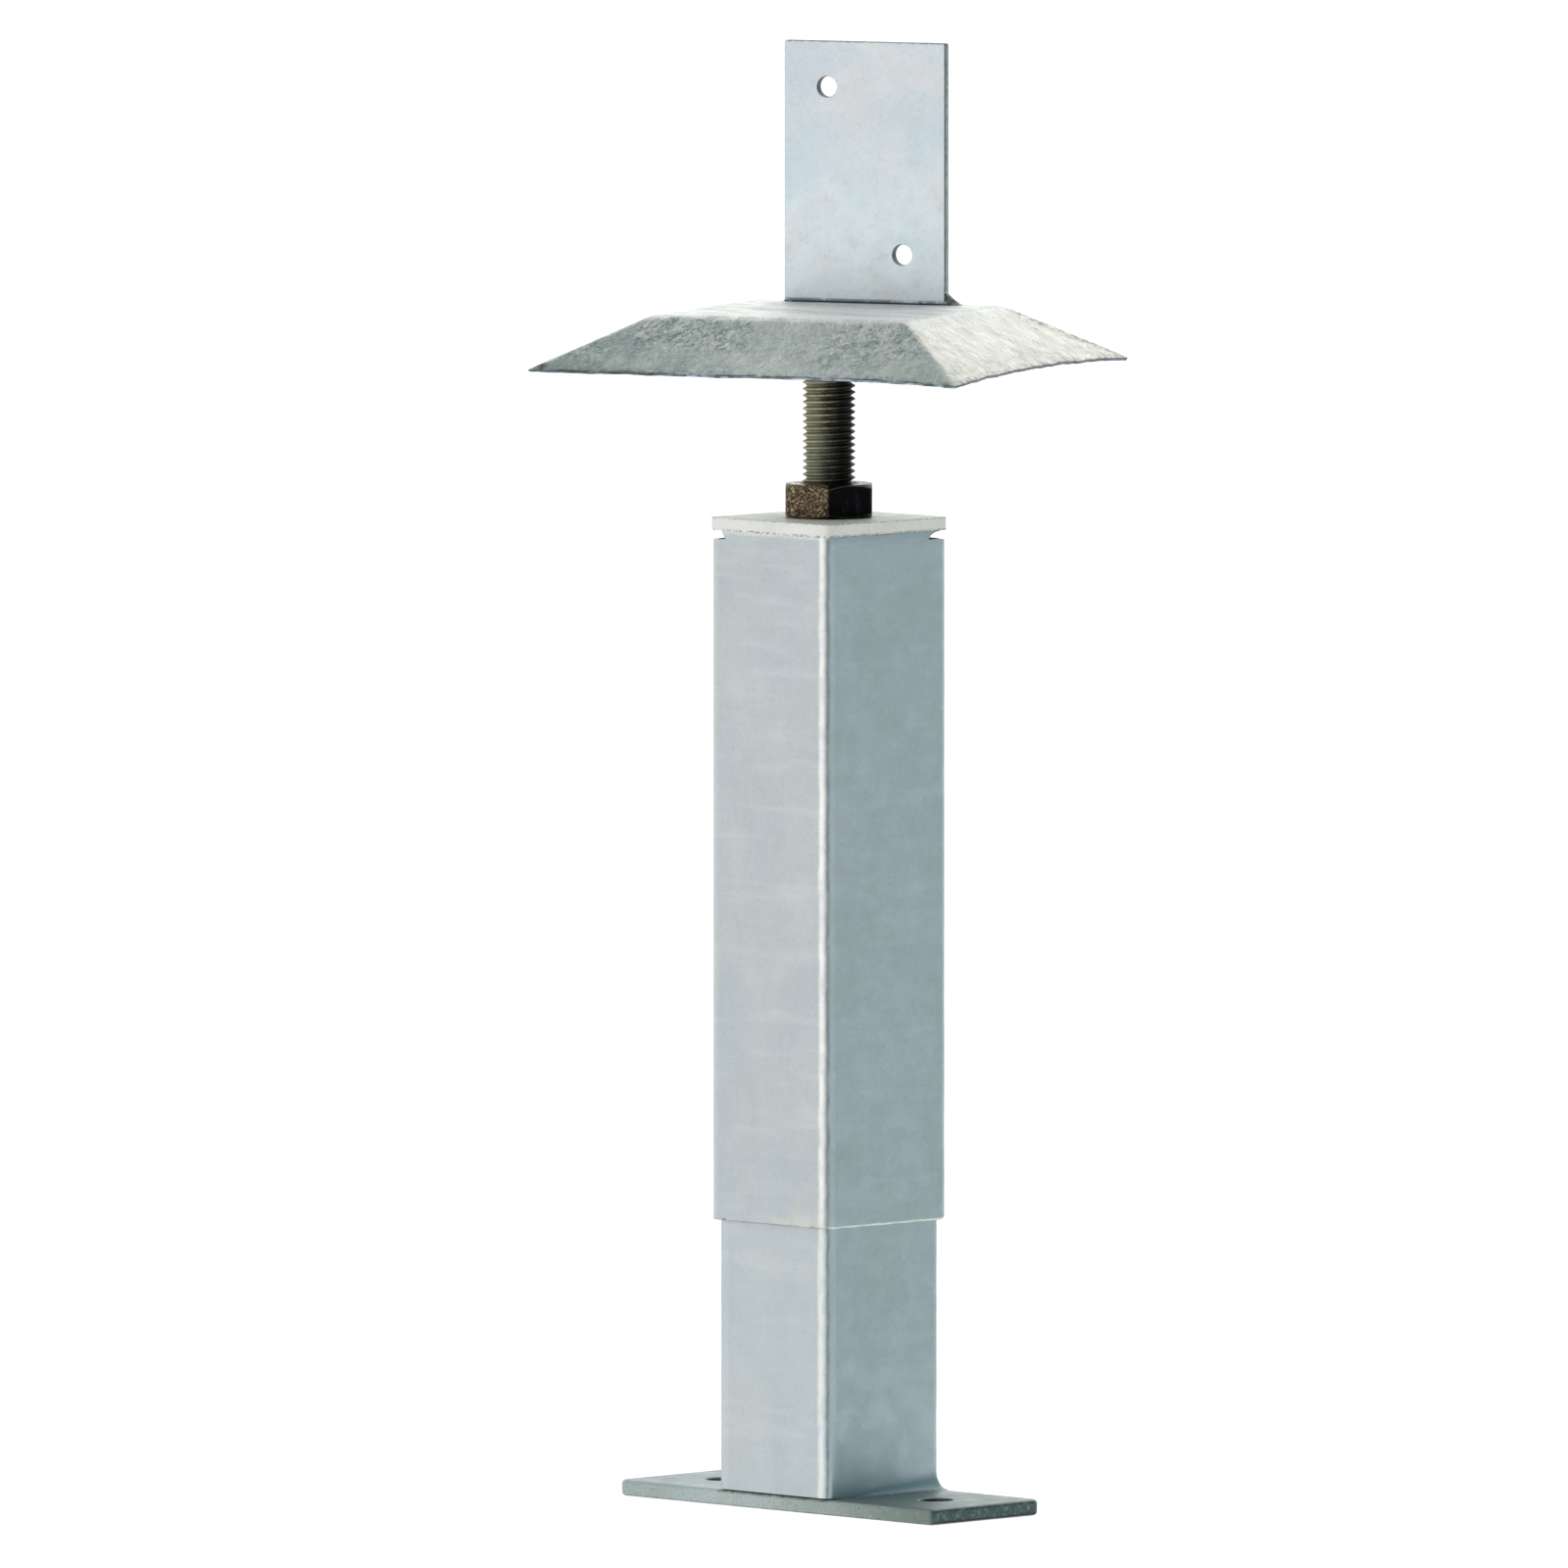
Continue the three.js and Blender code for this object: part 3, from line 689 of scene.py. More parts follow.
def base_marks(N, col):
    x, y, z = N.axis(which=0), N.axis(which=1), N.axis(which=2)
    col = N.mix(N.ramp(x, -0.030, -0.070, 0.0, 0.44), col, srgb(142, 156, 156))
    # painted reflection: the plate is coloured darker towards its right-hand end
    k = N.math("POWER", N.ramp(x, -0.070, 0.086), 2.3)
    k = N.math("MULTIPLY", k, N.ramp(N.noise(34, 3, 0.55), 0.2, 0.8, 0.75, 1.0))
    col = N.mix(N.math("MULTIPLY", k, 0.94), col, srgb(106, 119, 110))
    # painted shade: the faces turned towards +x, at the right-hand end, are coloured dark
    g = N.n("ShaderNodeNewGeometry")
    nx = N.axis(vec=g.outputs["Normal"], which=0)
    e = N.ramp(nx, 0.4, 0.9)
    col = N.mix(N.math("MULTIPLY", e, 0.94), col, srgb(70, 93, 91))
    col = N.mix(N.math("MULTIPLY", N.math("MULTIPLY", e, N.ramp(N.noise(330, 5, 0.7), 0.48, 0.68)), 0.5), col, srgb(156, 174, 170))
    # coarse speckle of a rolled and sheared edge
    nz = N.axis(vec=g.outputs["Normal"], which=2)
    side = N.ramp(N.math("ABSOLUTE", nz), 0.8, 0.4)
    sp = N.noise(1000, 3, 0.7)
    col = N.mix(N.math("MULTIPLY", N.math("MULTIPLY", side, N.ramp(sp, 0.50, 0.66)), 0.42), col, srgb(92, 104, 100))
    sp2 = N.noise(480, 5, 0.7)
    col = N.mix(N.math("MULTIPLY", N.math("MULTIPLY", side, N.ramp(sp2, 0.54, 0.72)), 0.30), col, srgb(206, 214, 208))
    # painted shade: the top face is coloured darker
    col = N.mix(N.math("MULTIPLY", N.ramp(nz, 0.7, 0.95), 0.78), col, srgb(126, 142, 143))
    # painted shade along the underside's edge, black on the end face; grime round the foot of the tube
    low = N.math("MULTIPLY", N.ramp(z, 0.9 * MM, 0.25 * MM), N.ramp(N.noise(300, 3, 0.6), 0.3, 0.6, 0.5, 1.0))
    col = N.mix(N.math("MULTIPLY", low, 0.8), col, srgb(42, 50, 46))
    end_underside_shade = N.math("MULTIPLY", N.ramp(z, 1.6 * MM, 0.7 * MM), e)
    col = N.mix(N.math("MULTIPLY", end_underside_shade, 0.95), col, srgb(6, 9, 8))
    far = N.math("MAXIMUM", N.math("ABSOLUTE", x), N.math("ABSOLUTE", y))
    foot = N.math("MULTIPLY", N.ramp(far, 31.2 * MM, 30.0 * MM), N.ramp(N.noise(420, 3, 0.6), 0.35, 0.6, 0.3, 1.0))
    foot = N.math("MULTIPLY", foot, N.ramp(z, 4.6 * MM, 5.6 * MM))
    col = N.mix(N.math("MULTIPLY", foot, 0.75), col, srgb(70, 72, 60))
    # painted shade on the holes' walls; darker rims round the holes
    hx = N.math("SUBTRACT", N.math("ABSOLUTE", x), 57.5 * MM)
    rr = N.math("SQRT", N.math("ADD", N.math("MULTIPLY", hx, hx), N.math("MULTIPLY", y, y)))
    wall = N.ramp(rr, 6.9 * MM, 6.2 * MM)
    col = N.mix(N.math("MULTIPLY", wall, 0.93), col, srgb(26, 30, 26))
    ring = N.math("MULTIPLY", N.ramp(rr, 12.0 * MM, 7.0 * MM), N.ramp(N.noise(120, 3, 0.6), 0.3, 0.7))
    col = N.mix(N.math("MULTIPLY", ring, 0.35), col, srgb(112, 126, 122))
    return col


# lighter edges: edge wear, and a painted highlight on the vertical corners
mat_base = zinc("zinc_base", srgb(178, 190, 188), srgb(166, 179, 175), srgb(188, 197, 192), metallic=0.62, rough=0.5,
                mottle=1.3, pits=1.0, streak=0.2, bump=1.5, edge_col=srgb(206, 214, 212), edge_amt=0.5, edge_r=0.8,
                block=(85.0, 30.0, 0.0, 6.0), pre=base_marks)


def plate_marks(N, col):
    z = N.axis(which=2)
    n = N.noise(620, 3, 0.65)
    low = N.ramp(z, (TP_LO[2] + 1.1) * MM, (TP_LO[2] + 0.1) * MM)
    hi = N.ramp(z, (TP_HI[2] - 0.75) * MM, (TP_HI[2] - 0.15) * MM)
    g = N.n("ShaderNodeNewGeometry")
    side_ = N.ramp(N.axis(vec=g.outputs["Normal"], which=2), 0.85, 0.45)
    hi = N.math("MULTIPLY", hi, side_)
    k = N.math("MULTIPLY", N.math("MAXIMUM", low, N.math("MULTIPLY", hi, 0.8)), N.ramp(n, 0.46, 0.60))
    col = N.mix(N.math("MULTIPLY", k, 0.8), col, srgb(92, 92, 80))
    # a brownish smudge along the foot of its right-hand side
    turn = N.math("ADD", N.axis(which=0), N.axis(which=1))
    sm = N.math("MULTIPLY", N.math("MULTIPLY", low, N.ramp(turn, -2.0 * MM, 6.0 * MM)), N.ramp(N.noise(150, 4, 0.6), 0.30, 0.60, 0.3, 1.0))
    return N.mix(N.math("MULTIPLY", sm, 0.5), col, srgb(150, 150, 138))


mat_top = zinc("zinc_top_plate", srgb(232, 232, 226), srgb(222, 223, 216), srgb(238, 238, 233), metallic=0.35, rough=0.55,
               mottle=1.2, pits=0.9, streak=0.0, bump=1.6, speck=srgb(120, 118, 104), edge_col=srgb(206, 206, 198), edge_amt=0.25,
               edge_r=0.5, block=(32.5, 32.5, TP_LO[2], TP_HI[2]), pre=plate_marks)


def weld_marks(N, col):
    n = N.noise(520, 3, 0.65)
    return N.mix(N.math("MULTIPLY", N.ramp(n, 0.52, 0.66), 0.6), col, srgb(120, 122, 112))


def gap_marks(N, col):
    col = tube_marks(32.5, OT_LO[2], False)(N, col)
    z = N.axis(which=2)
    # painted light and shade: the weld's right-hand side coloured darker and bluer like the sleeve's, and towards the
    # plate a paler fade, strong on the left-hand side and weaker on the right
    up = N.ramp(z, (TP_LO[2] - 1.9) * MM, (TP_LO[2] + 0.2) * MM)
    up = N.math("MULTIPLY", up, N.ramp(N.noise(200, 3, 0.6), 0.3, 0.7, 0.5, 1.0))
    turn = N.math("ADD", N.axis(which=0), N.axis(which=1))
    col = N.mix(N.math("MULTIPLY", N.ramp(turn, -2.0 * MM, 2.0 * MM), 0.22), col, srgb(128, 150, 156))
    left = N.math("MULTIPLY", up, N.ramp(turn, 4.0 * MM, -4.0 * MM, 0.0, 0.80))
    col = N.mix(left, col, srgb(232, 233, 226))
    right = N.math("MULTIPLY", up, N.ramp(turn, -4.0 * MM, 4.0 * MM, 0.0, 0.45))
    col = N.mix(right, col, srgb(168, 180, 176))
    top = N.ramp(z, (TP_LO[2] - 0.5) * MM, (TP_LO[2] + 0.1) * MM)
    dots = N.math("MULTIPLY", top, N.ramp(N.noise(560, 3, 0.6), 0.46, 0.60))
    return N.mix(N.math("MULTIPLY", dots, 0.75), col, srgb(104, 104, 90))


mat_gap = zinc("zinc_gap_weld", srgb(188, 194, 196), srgb(181, 188, 191), srgb(196, 200, 201), metallic=0.74, rough=0.46,
               mottle=1.0, pits=0.8, streak=0.0, bump=1.2, pre=gap_marks)


mat_weld = zinc("zinc_weld", srgb(208, 214, 214), srgb(198, 206, 206), srgb(216, 219, 216), metallic=0.6, rough=0.5,
                mottle=1.2, pits=1.1, streak=0.0, bump=1.8, pre=weld_marks)
def foot_marks(N, col):
    # painted shade and light as on the tube: the right-hand part coloured darker and bluer, then lighter, the weld's
    # top painted paler and its lower part darker; a dark line along the toe
    z = N.axis(which=2)
    x = N.axis(which=0)
    fx = N.ramp(x, 10.0 * MM, 25.0 * MM)
    col = N.mix(N.math("MULTIPLY", fx, 0.46), col, srgb(150, 176, 184))
    col = N.mix(N.math("MULTIPLY", fx, 0.42), col, srgb(206, 222, 226))
    hi = N.ramp(z, 9.0 * MM, 14.0 * MM)
    col = N.mix(N.math("MULTIPLY", hi, 0.35), col, srgb(236, 240, 240))
    low = N.ramp(z, 10.5 * MM, 6.6 * MM)
    col = N.mix(N.math("MULTIPLY", low, 0.30), col, srgb(116, 138, 146))
    toe = N.math("MULTIPLY", N.ramp(z, 6.9 * MM, 6.25 * MM), N.ramp(N.noise(300, 3, 0.6), 0.3, 0.6, 0.5, 1.0))
    return N.mix(N.math("MULTIPLY", toe, 0.6), col, srgb(70, 78, 74))


mat_weld_foot = zinc("zinc_weld_foot", srgb(188, 195, 197), srgb(180, 189, 192), srgb(195, 200, 201), metallic=0.74, rough=0.5,
                     mottle=1.0, pits=0.4, streak=0.0, bump=1.0, pre=foot_marks)
mat_weld_dark = zinc("zinc_weld_dark", srgb(120, 128, 126), srgb(70, 76, 72), srgb(190, 190, 178), metallic=0.7, rough=0.4,
                     mottle=1.6, pits=1.5, streak=0.0, bump=2.5,
                     pre=lambda N, col: N.mix(N.math("MULTIPLY", N.ramp(N.noise(760, 4, 0.7), 0.50, 0.40), 0.80),
                                              N.mix(N.math("MULTIPLY", N.ramp(N.noise(760, 4, 0.7), 0.54, 0.62), 0.75), col, srgb(206, 210, 202)),
                                              srgb(34, 40, 40)))


def hood_marks(N, col):
    loc = N.mapping(rot=(0, 0, -YAW))
    x, y, z = N.axis(loc, 0), N.axis(loc, 1), N.axis(loc, 2)
    ax, ay = N.math("ABSOLUTE", x), N.math("ABSOLUTE", y)
    s_ = N.math("MAXIMUM", ax, ay)
    # grey-green patches on the slopes, whitish bloom where the zinc has run, and clusters where the hammered relief is
    # painted with light and shade
    a = N.noise(60, 6, 0.70, vec=N.mapping((1, 1, 1), rot=(0, 0, 0.6)), distort=1.2)
    col = N.mix(N.math("MULTIPLY", N.ramp(a, 0.44, 0.62), 0.60), col, srgb(142, 160, 157))
    c = N.noise(34, 5, 0.62, distort=0.8)
    col = N.mix(N.math("MULTIPLY", N.ramp(c, 0.52, 0.70), 0.45), col, srgb(222, 222, 212))
    # painted shade: darker towards the left end
    ends = N.ramp(x, -40.0 * MM, -66.0 * MM)
    col = N.mix(N.math("MULTIPLY", ends, 0.60), col, srgb(124, 140, 135))
    pale = N.ramp(N.math("ABSOLUTE", N.math("SUBTRACT", x, 15.0 * MM)), 17.0 * MM, 4.0 * MM)
    col = N.mix(N.math("MULTIPLY", N.math("MULTIPLY", pale, N.ramp(c, 0.30, 0.60)), 0.50), col, srgb(224, 224, 216))
    slope_ = N.math("MULTIPLY", N.ramp(s_, 50.5 * MM, 52.5 * MM), N.ramp(N.math("SUBTRACT", x, ay), 0.6 * MM, -0.6 * MM))
    col = N.mix(N.math("MULTIPLY", slope_, 0.14), col, srgb(160, 190, 188))
    col = N.mix(N.math("MULTIPLY", N.math("MULTIPLY", slope_, N.ramp(x, -34.0 * MM, -6.0 * MM)), 0.16), col, srgb(232, 235, 228))
    relief_shade_clusters = N.math("MAXIMUM", N.ramp(N.noise(24, 3, 0.55), 0.44, 0.60), N.ramp(N.math("ABSOLUTE", N.math("SUBTRACT", x, 38.0 * MM)), 17.0 * MM, 5.0 * MM, 0.0, 0.72))
    relief_shade_clusters = N.math("MAXIMUM", relief_shade_clusters, N.math("MULTIPLY", N.ramp(N.math("ABSOLUTE", N.math("ADD", x, 31.0 * MM)), 32.0 * MM, 14.0 * MM, 0.0, 0.95), N.ramp(s_, 78.0 * MM, 66.0 * MM)))
    relief_shade_clusters = N.math("MULTIPLY", relief_shade_clusters, N.ramp(s_, 84.0 * MM, 74.0 * MM, 0.35, 1.0))
    # painted light and shade of the hammered relief: darker teal on the side turned from the light, pale on the side
    # turned to it
    for sc_, dx_, amt in ((105, 1.1, 0.72), (240, 0.5, 0.65), (460, 0.27, 0.50)):
        na = N.noise(sc_, 6, 0.62, distort=0.5)
        nb = N.noise(sc_, 6, 0.62, vec=N.mapping(loc=(dx_ * MM, -dx_ * MM * 0.4, dx_ * MM * 0.8)), distort=0.5)
        e = N.math("SUBTRACT", na, nb)
        relief_shade_weight = N.math("ADD", N.math("MULTIPLY", relief_shade_clusters, 0.72), 0.20)
        col = N.mix(N.math("MULTIPLY", N.math("MULTIPLY", relief_shade_weight, N.ramp(e, 0.010, 0.080)), amt), col, srgb(72, 116, 124))
        col = N.mix(N.math("MULTIPLY", N.math("MULTIPLY", relief_shade_weight, N.ramp(e, -0.012, -0.095)), amt * 0.75), col, srgb(234, 229, 216))
    b2 = N.noise(520, 5, 0.72, vec=N.mapping((1, 0.6, 1), rot=(0.0, 0.0, 1.1)), distort=0.8)
    col = N.mix(N.math("MULTIPLY", N.ramp(b2, 0.52, 0.66), 0.38), col, srgb(118, 132, 132))
    col = N.mix(N.math("MULTIPLY", N.ramp(b2, 0.46, 0.34), 0.34), col, srgb(222, 224, 216))
    # painted light: the right-hand slope is coloured nearly white, with a slanting brushed grain and brownish streaks;
    # the glare is a painted highlight near the fold
    right = N.math("MULTIPLY", N.ramp(N.math("SUBTRACT", x, ay), -0.6 * MM, 0.6 * MM), N.ramp(s_, 50.0 * MM, 53.0 * MM))
    wn = N.math("MULTIPLY", right, N.ramp(N.noise(120, 6, 0.74, distort=0.8), 0.30, 0.55, 0.82, 1.0))
    col = N.mix(N.math("MULTIPLY", wn, 0.98), col, srgb(255, 253, 243))
    patch = N.ramp(N.noise(46, 4, 0.6, distort=0.5), 0.42, 0.60, 0.15, 1.0)
    br = N.noise(230, 6, 0.74, vec=N.mapping((0.35, 1.7, 1), rot=(0, 0, 0.75)), distort=0.7)
    col = N.mix(N.math("MULTIPLY", N.math("MULTIPLY", N.math("MULTIPLY", right, patch), N.ramp(br, 0.50, 0.64)), 0.70), col, srgb(186, 184, 168))
    br2 = N.noise(640, 4, 0.74, vec=N.mapping((0.5, 1.5, 1), rot=(0, 0, 0.75)))
    col = N.mix(N.math("MULTIPLY", N.math("MULTIPLY", N.math("MULTIPLY", right, patch), N.ramp(br2, 0.55, 0.68)), 0.62), col, srgb(146, 140, 118))
    farx = N.math("MULTIPLY", right, N.ramp(s_, 66.0 * MM, 84.0 * MM))
    col = N.mix(N.math("MULTIPLY", N.math("MULTIPLY", farx, N.ramp(N.noise(300, 5, 0.7), 0.44, 0.60)), 0.40), col, srgb(196, 192, 176))
    farhip = N.math("MULTIPLY", N.math("MULTIPLY", right, N.ramp(N.math("SUBTRACT", x, y), 16.0 * MM, 2.0 * MM)), N.ramp(N.noise(330, 5, 0.72), 0.45, 0.56))
    col = N.mix(N.math("MULTIPLY", farhip, 0.82), col, srgb(126, 116, 92))
    glare = N.math("MULTIPLY", N.math("MULTIPLY", right, N.ramp(s_, 62.0 * MM, 53.0 * MM)), N.ramp(N.noise(75, 3, 0.5), 0.40, 0.60))
    col = N.mix(N.math("MULTIPLY", glare, 0.75), col, srgb(255, 255, 252))
    # the flat top is nearly white; on it, painted shade and reflection of the fin: bluish and brownish streaks, a
    # bluish tint near the fin and a dark painted shadow along its foot
    flat = N.ramp(s_, 51.5 * MM, 48.5 * MM)
    col = N.mix(N.math("MULTIPLY", flat, 0.92), col, srgb(250, 250, 246))
    fin_reflection_streaks = N.noise(60, 5, 0.66, vec=N.mapping((0.16, 2.2, 1), rot=(0, 0, -YAW)), distort=0.25)
    col = N.mix(N.math("MULTIPLY", N.math("MULTIPLY", flat, N.ramp(fin_reflection_streaks, 0.48, 0.66)), N.ramp(y, -46.0 * MM, -8.0 * MM, 0.18, 0.62)), col, srgb(158, 172, 180))
    fin_reflection_brown = N.noise(150, 5, 0.70, vec=N.mapping((0.2, 2.0, 1), rot=(0, 0, -YAW)))
    col = N.mix(N.math("MULTIPLY", N.math("MULTIPLY", flat, N.ramp(fin_reflection_brown, 0.53, 0.66)), N.ramp(y, -46.0 * MM, -8.0 * MM, 0.12, 0.45)), col, srgb(176, 166, 144))
    fx = N.ramp(N.math("ABSOLUTE", N.math("SUBTRACT", x, FIN_X * MM)), 36.0 * MM, 26.0 * MM)
    under_fin_shade = N.math("MULTIPLY", N.ramp(y, 0.0, 36.0 * MM), flat)
    col = N.mix(N.math("MULTIPLY", N.math("MULTIPLY", fx, under_fin_shade), 0.55), col, srgb(176, 188, 196))
    fin_foot_shadow = N.math("MULTIPLY", N.ramp(N.math("ABSOLUTE", N.math("SUBTRACT", y, (FIN_Y - 0.3) * MM)), 2.6 * MM, 0.6 * MM), fx)
    fin_foot_shadow = N.math("MULTIPLY", fin_foot_shadow, N.ramp(N.noise(200, 3, 0.6), 0.25, 0.6, 0.55, 1.0))
    col = N.mix(N.math("MULTIPLY", N.math("MULTIPLY", fin_foot_shadow, flat), 0.75), col, srgb(84, 92, 94))
    # painted highlight along the folds
    wob = N.ramp(N.noise(60, 3, 0.6), 0.3, 0.7, -1.3 * MM, 1.3 * MM)
    fold = N.ramp(N.math("ABSOLUTE", N.math("SUBTRACT", N.math("ADD", s_, wob), 51.3 * MM)), 4.0 * MM, 0.6 * MM)
    fold = N.math("MULTIPLY", fold, N.ramp(N.noise(110, 4, 0.65), 0.30, 0.60, 0.35, 1.0))
    col = N.mix(N.math("MULTIPLY", fold, 0.85), col, srgb(248, 248, 244))
    # brown specks along the hips, dark grime towards the rim
    hip = N.ramp(N.math("ABSOLUTE", N.math("SUBTRACT", ax, ay)), 5.0 * MM, 0.5 * MM)
    hip = N.math("MULTIPLY", N.math("MULTIPLY", hip, N.ramp(s_, 50 * MM, 54 * MM)), N.ramp(N.noise(400, 4, 0.70), 0.50, 0.60))
    hip = N.math("MULTIPLY", hip, N.ramp(s_, 54 * MM, 76 * MM, 1.0, 0.18))
    palehip = N.math("MULTIPLY", N.ramp(N.math("ABSOLUTE", N.math("SUBTRACT", ax, ay)), 3.2 * MM, 0.4 * MM), N.ramp(s_, 50 * MM, 53 * MM))
    palehip = N.math("MULTIPLY", palehip, N.ramp(N.noise(70, 3, 0.6), 0.30, 0.60, 0.4, 1.0))
    col = N.mix(N.math("MULTIPLY", palehip, 0.62), col, srgb(216, 219, 210))
    col = N.mix(N.math("MULTIPLY", hip, 0.70), col, srgb(120, 108, 86))
    tip = N.math("SQRT", N.math("ADD", N.math("POWER", N.math("ADD", x, 87.0 * MM), 2.0), N.math("POWER", N.math("ADD", y, 87.0 * MM), 2.0)))
    tp_ = N.math("MULTIPLY", N.ramp(tip, 8.5 * MM, 4.5 * MM), N.ramp(N.noise(420, 3, 0.6), 0.36, 0.56, 0.35, 1.0))
    col = N.mix(N.math("MULTIPLY", tp_, 0.92), col, srgb(40, 48, 54))
    front_ = N.ramp(N.math("ADD", y, ax), 0.4 * MM, -0.4 * MM)
    bl = N.math("MULTIPLY", N.math("MULTIPLY", front_, N.ramp(s_, 86.9 * MM, 87.5 * MM)), N.ramp(N.noise(75, 4, 0.62), 0.44, 0.52))
    col = N.mix(N.math("MULTIPLY", bl, 0.80), col, srgb(48, 44, 42))
    rim = N.math("MULTIPLY", N.ramp(s_, 84.5 * MM, 87.6 * MM), N.ramp(N.noise(380, 4, 0.68), 0.44, 0.62))
    col = N.mix(N.math("MULTIPLY", rim, 0.62), col, srgb(74, 84, 88))
    return col


mat_hood = zinc("zinc_hood", srgb(182, 191, 186), srgb(168, 179, 176), srgb(198, 203, 196), metallic=0.45, rough=0.48,
                mottle=1.5, grain=1.4, pits=0.9, streak=0.0, bump=1.2, dent=0.78, pre=hood_marks, rough_var=0.2)
def rim_marks(N, col):
    loc = N.mapping(rot=(0, 0, -YAW))
    x, y = N.axis(loc, 0), N.axis(loc, 1)
    n = N.ramp(N.noise(260, 4, 0.6), 0.34, 0.62)
    # painted light and shade: a pale bluish painted highlight on the front rim, the right-hand rim coloured darker
    front = N.ramp(N.math("ADD", y, N.math("ABSOLUTE", x)), 0.4 * MM, -0.4 * MM)
    front = N.math("MULTIPLY", front, N.ramp(x, -40.0 * MM, -20.0 * MM, 0.25, 1.0))
    col = N.mix(N.math("MULTIPLY", N.math("MULTIPLY", front, n), 0.70), col, srgb(182, 202, 216))
    right = N.ramp(N.math("SUBTRACT", x, N.math("ABSOLUTE", y)), -0.4 * MM, 0.4 * MM)
    return N.mix(N.math("MULTIPLY", right, 0.70), col, srgb(72, 78, 80))


mat_rim = zinc("zinc_hood_rim", srgb(118, 132, 144), srgb(70, 80, 88), srgb(40, 44, 46), metallic=0.70, rough=0.40,
               mottle=1.2, pits=1.0, streak=0.0, bump=1.2, pre=rim_marks)
FIN_BLOCK = (FIN_W / 2, FIN_T / 2, FIN_Z0, FIN_Z1, YAW, FIN_X, FIN_Y + FIN_T / 2)


def fin_marks(N, col):
    z = N.axis(which=2)
    k = N.math("MULTIPLY", N.ramp(z, (FIN_Z0 + 1.1) * MM, (FIN_Z0 + 0.3) * MM), N.ramp(N.noise(300, 3, 0.6), 0.25, 0.55, 0.5, 1.0))
    col = N.mix(N.math("MULTIPLY", k, 0.85), col, srgb(74, 74, 70))
    top = N.math("MULTIPLY", N.ramp(z, (FIN_Z1 - 0.9) * MM, (FIN_Z1 - 0.2) * MM), N.ramp(N.noise(500, 3, 0.6), 0.44, 0.58))
    col = N.mix(N.math("MULTIPLY", top, 0.6), col, srgb(104, 116, 122))
    a = N.noise(30, 5, 0.62, vec=N.mapping((1, 1, 0.8)), distort=0.9)
    col = N.mix(N.math("MULTIPLY", N.ramp(a, 0.48, 0.70), 0.35), col, srgb(204, 216, 226))
    # painted light: lighter towards the fin's foot
    foot = N.ramp(z, (FIN_Z0 + 80) * MM, (FIN_Z0 + 12) * MM)
    col = N.mix(N.math("MULTIPLY", foot, 0.95), col, srgb(242, 252, 255))
    b = N.noise(85, 5, 0.65, distort=0.8)
    col = N.mix(N.math("MULTIPLY", N.ramp(b, 0.50, 0.70), 0.30), col, srgb(234, 236, 236))
    # cyan and rosy bloom
    b2 = N.noise(26, 4, 0.62, distort=0.8)
    col = N.mix(N.math("MULTIPLY", N.ramp(b2, 0.52, 0.64), 0.34), col, srgb(208, 230, 236))
    col = N.mix(N.math("MULTIPLY", N.ramp(b2, 0.46, 0.36), 0.34), col, srgb(238, 232, 230))
    b3 = N.noise(300, 5, 0.7)
    col = N.mix(N.math("MULTIPLY", N.ramp(b3, 0.52, 0.66), 0.22), col, srgb(196, 208, 216))
    # faint slanting scratches
    loc = N.mapping(rot=(0, 0, -YAW))
    lx, lz = N.axis(loc, 0), N.axis(loc, 2)
    cmb = N.n("ShaderNodeCombineXYZ")
    N.link(N.math("MULTIPLY", N.math("ADD", lx, N.math("MULTIPLY", lz, 1.2)), 0.13), cmb.inputs[0])
    N.link(N.math("SUBTRACT", N.math("MULTIPLY", lx, 1.2), lz), cmb.inputs[1])
    sc = N.noise(620, 3, 0.6, vec=cmb.outputs[0])
    sm = N.math("MULTIPLY", N.ramp(sc, 0.56, 0.66), N.ramp(N.noise(40, 3, 0.6), 0.44, 0.62))
    col = N.mix(N.math("MULTIPLY", sm, 0.15), col, srgb(180, 192, 202))
    # dark teal and brown blotches along the foot
    ft = N.math("MULTIPLY", N.ramp(lz, (FIN_Z0 + 1.7) * MM, (FIN_Z0 + 0.7) * MM), N.ramp(N.noise(170, 4, 0.65), 0.36, 0.54))
    return N.mix(N.math("MULTIPLY", ft, 0.72), col, srgb(76, 90, 92))


def hole_marks(N, col):
    v = N.mapping(rot=(0, 0, -YAW))
    x, z = N.axis(v, 0), N.axis(v, 2)
    y = N.math("SUBTRACT", N.axis(v, 1), (FIN_Y + FIN_T * 0.5) * MM)
    col = N.mix(0.42, col, srgb(62, 76, 80))
    mid = N.math("MULTIPLY", N.ramp(N.math("ABSOLUTE", y), 0.75 * MM, 0.25 * MM), N.ramp(N.noise(500, 4, 0.65), 0.34, 0.58))
    col = N.mix(N.math("MULTIPLY", mid, 0.62), col, srgb(184, 194, 196))
    up_ = N.math("MULTIPLY", N.ramp(z, (FIN_Z1 - 26) * MM, (FIN_Z1 - 4) * MM), N.ramp(N.noise(420, 4, 0.65), 0.36, 0.60, 0.4, 1.0))
    col = N.mix(N.math("MULTIPLY", up_, 0.45), col, srgb(40, 48, 50))
    # painted shade on the walls of the two holes
    for hx_, hz_ in ((FIN_X - FIN_W / 2 + 17.5, FIN_Z1 - 17.5), (FIN_X + FIN_W / 2 - 17.5, FIN_Z0 + 18.5)):
        a = N.math("SUBTRACT", x, hx_ * MM)
        b = N.math("SUBTRACT", z, hz_ * MM)
        r = N.math("SQRT", N.math("ADD", N.math("MULTIPLY", a, a), N.math("MULTIPLY", b, b)))
        col = N.mix(N.math("MULTIPLY", N.ramp(r, 4.9 * MM, 4.4 * MM), 0.9), col, srgb(52, 62, 66))
    return col


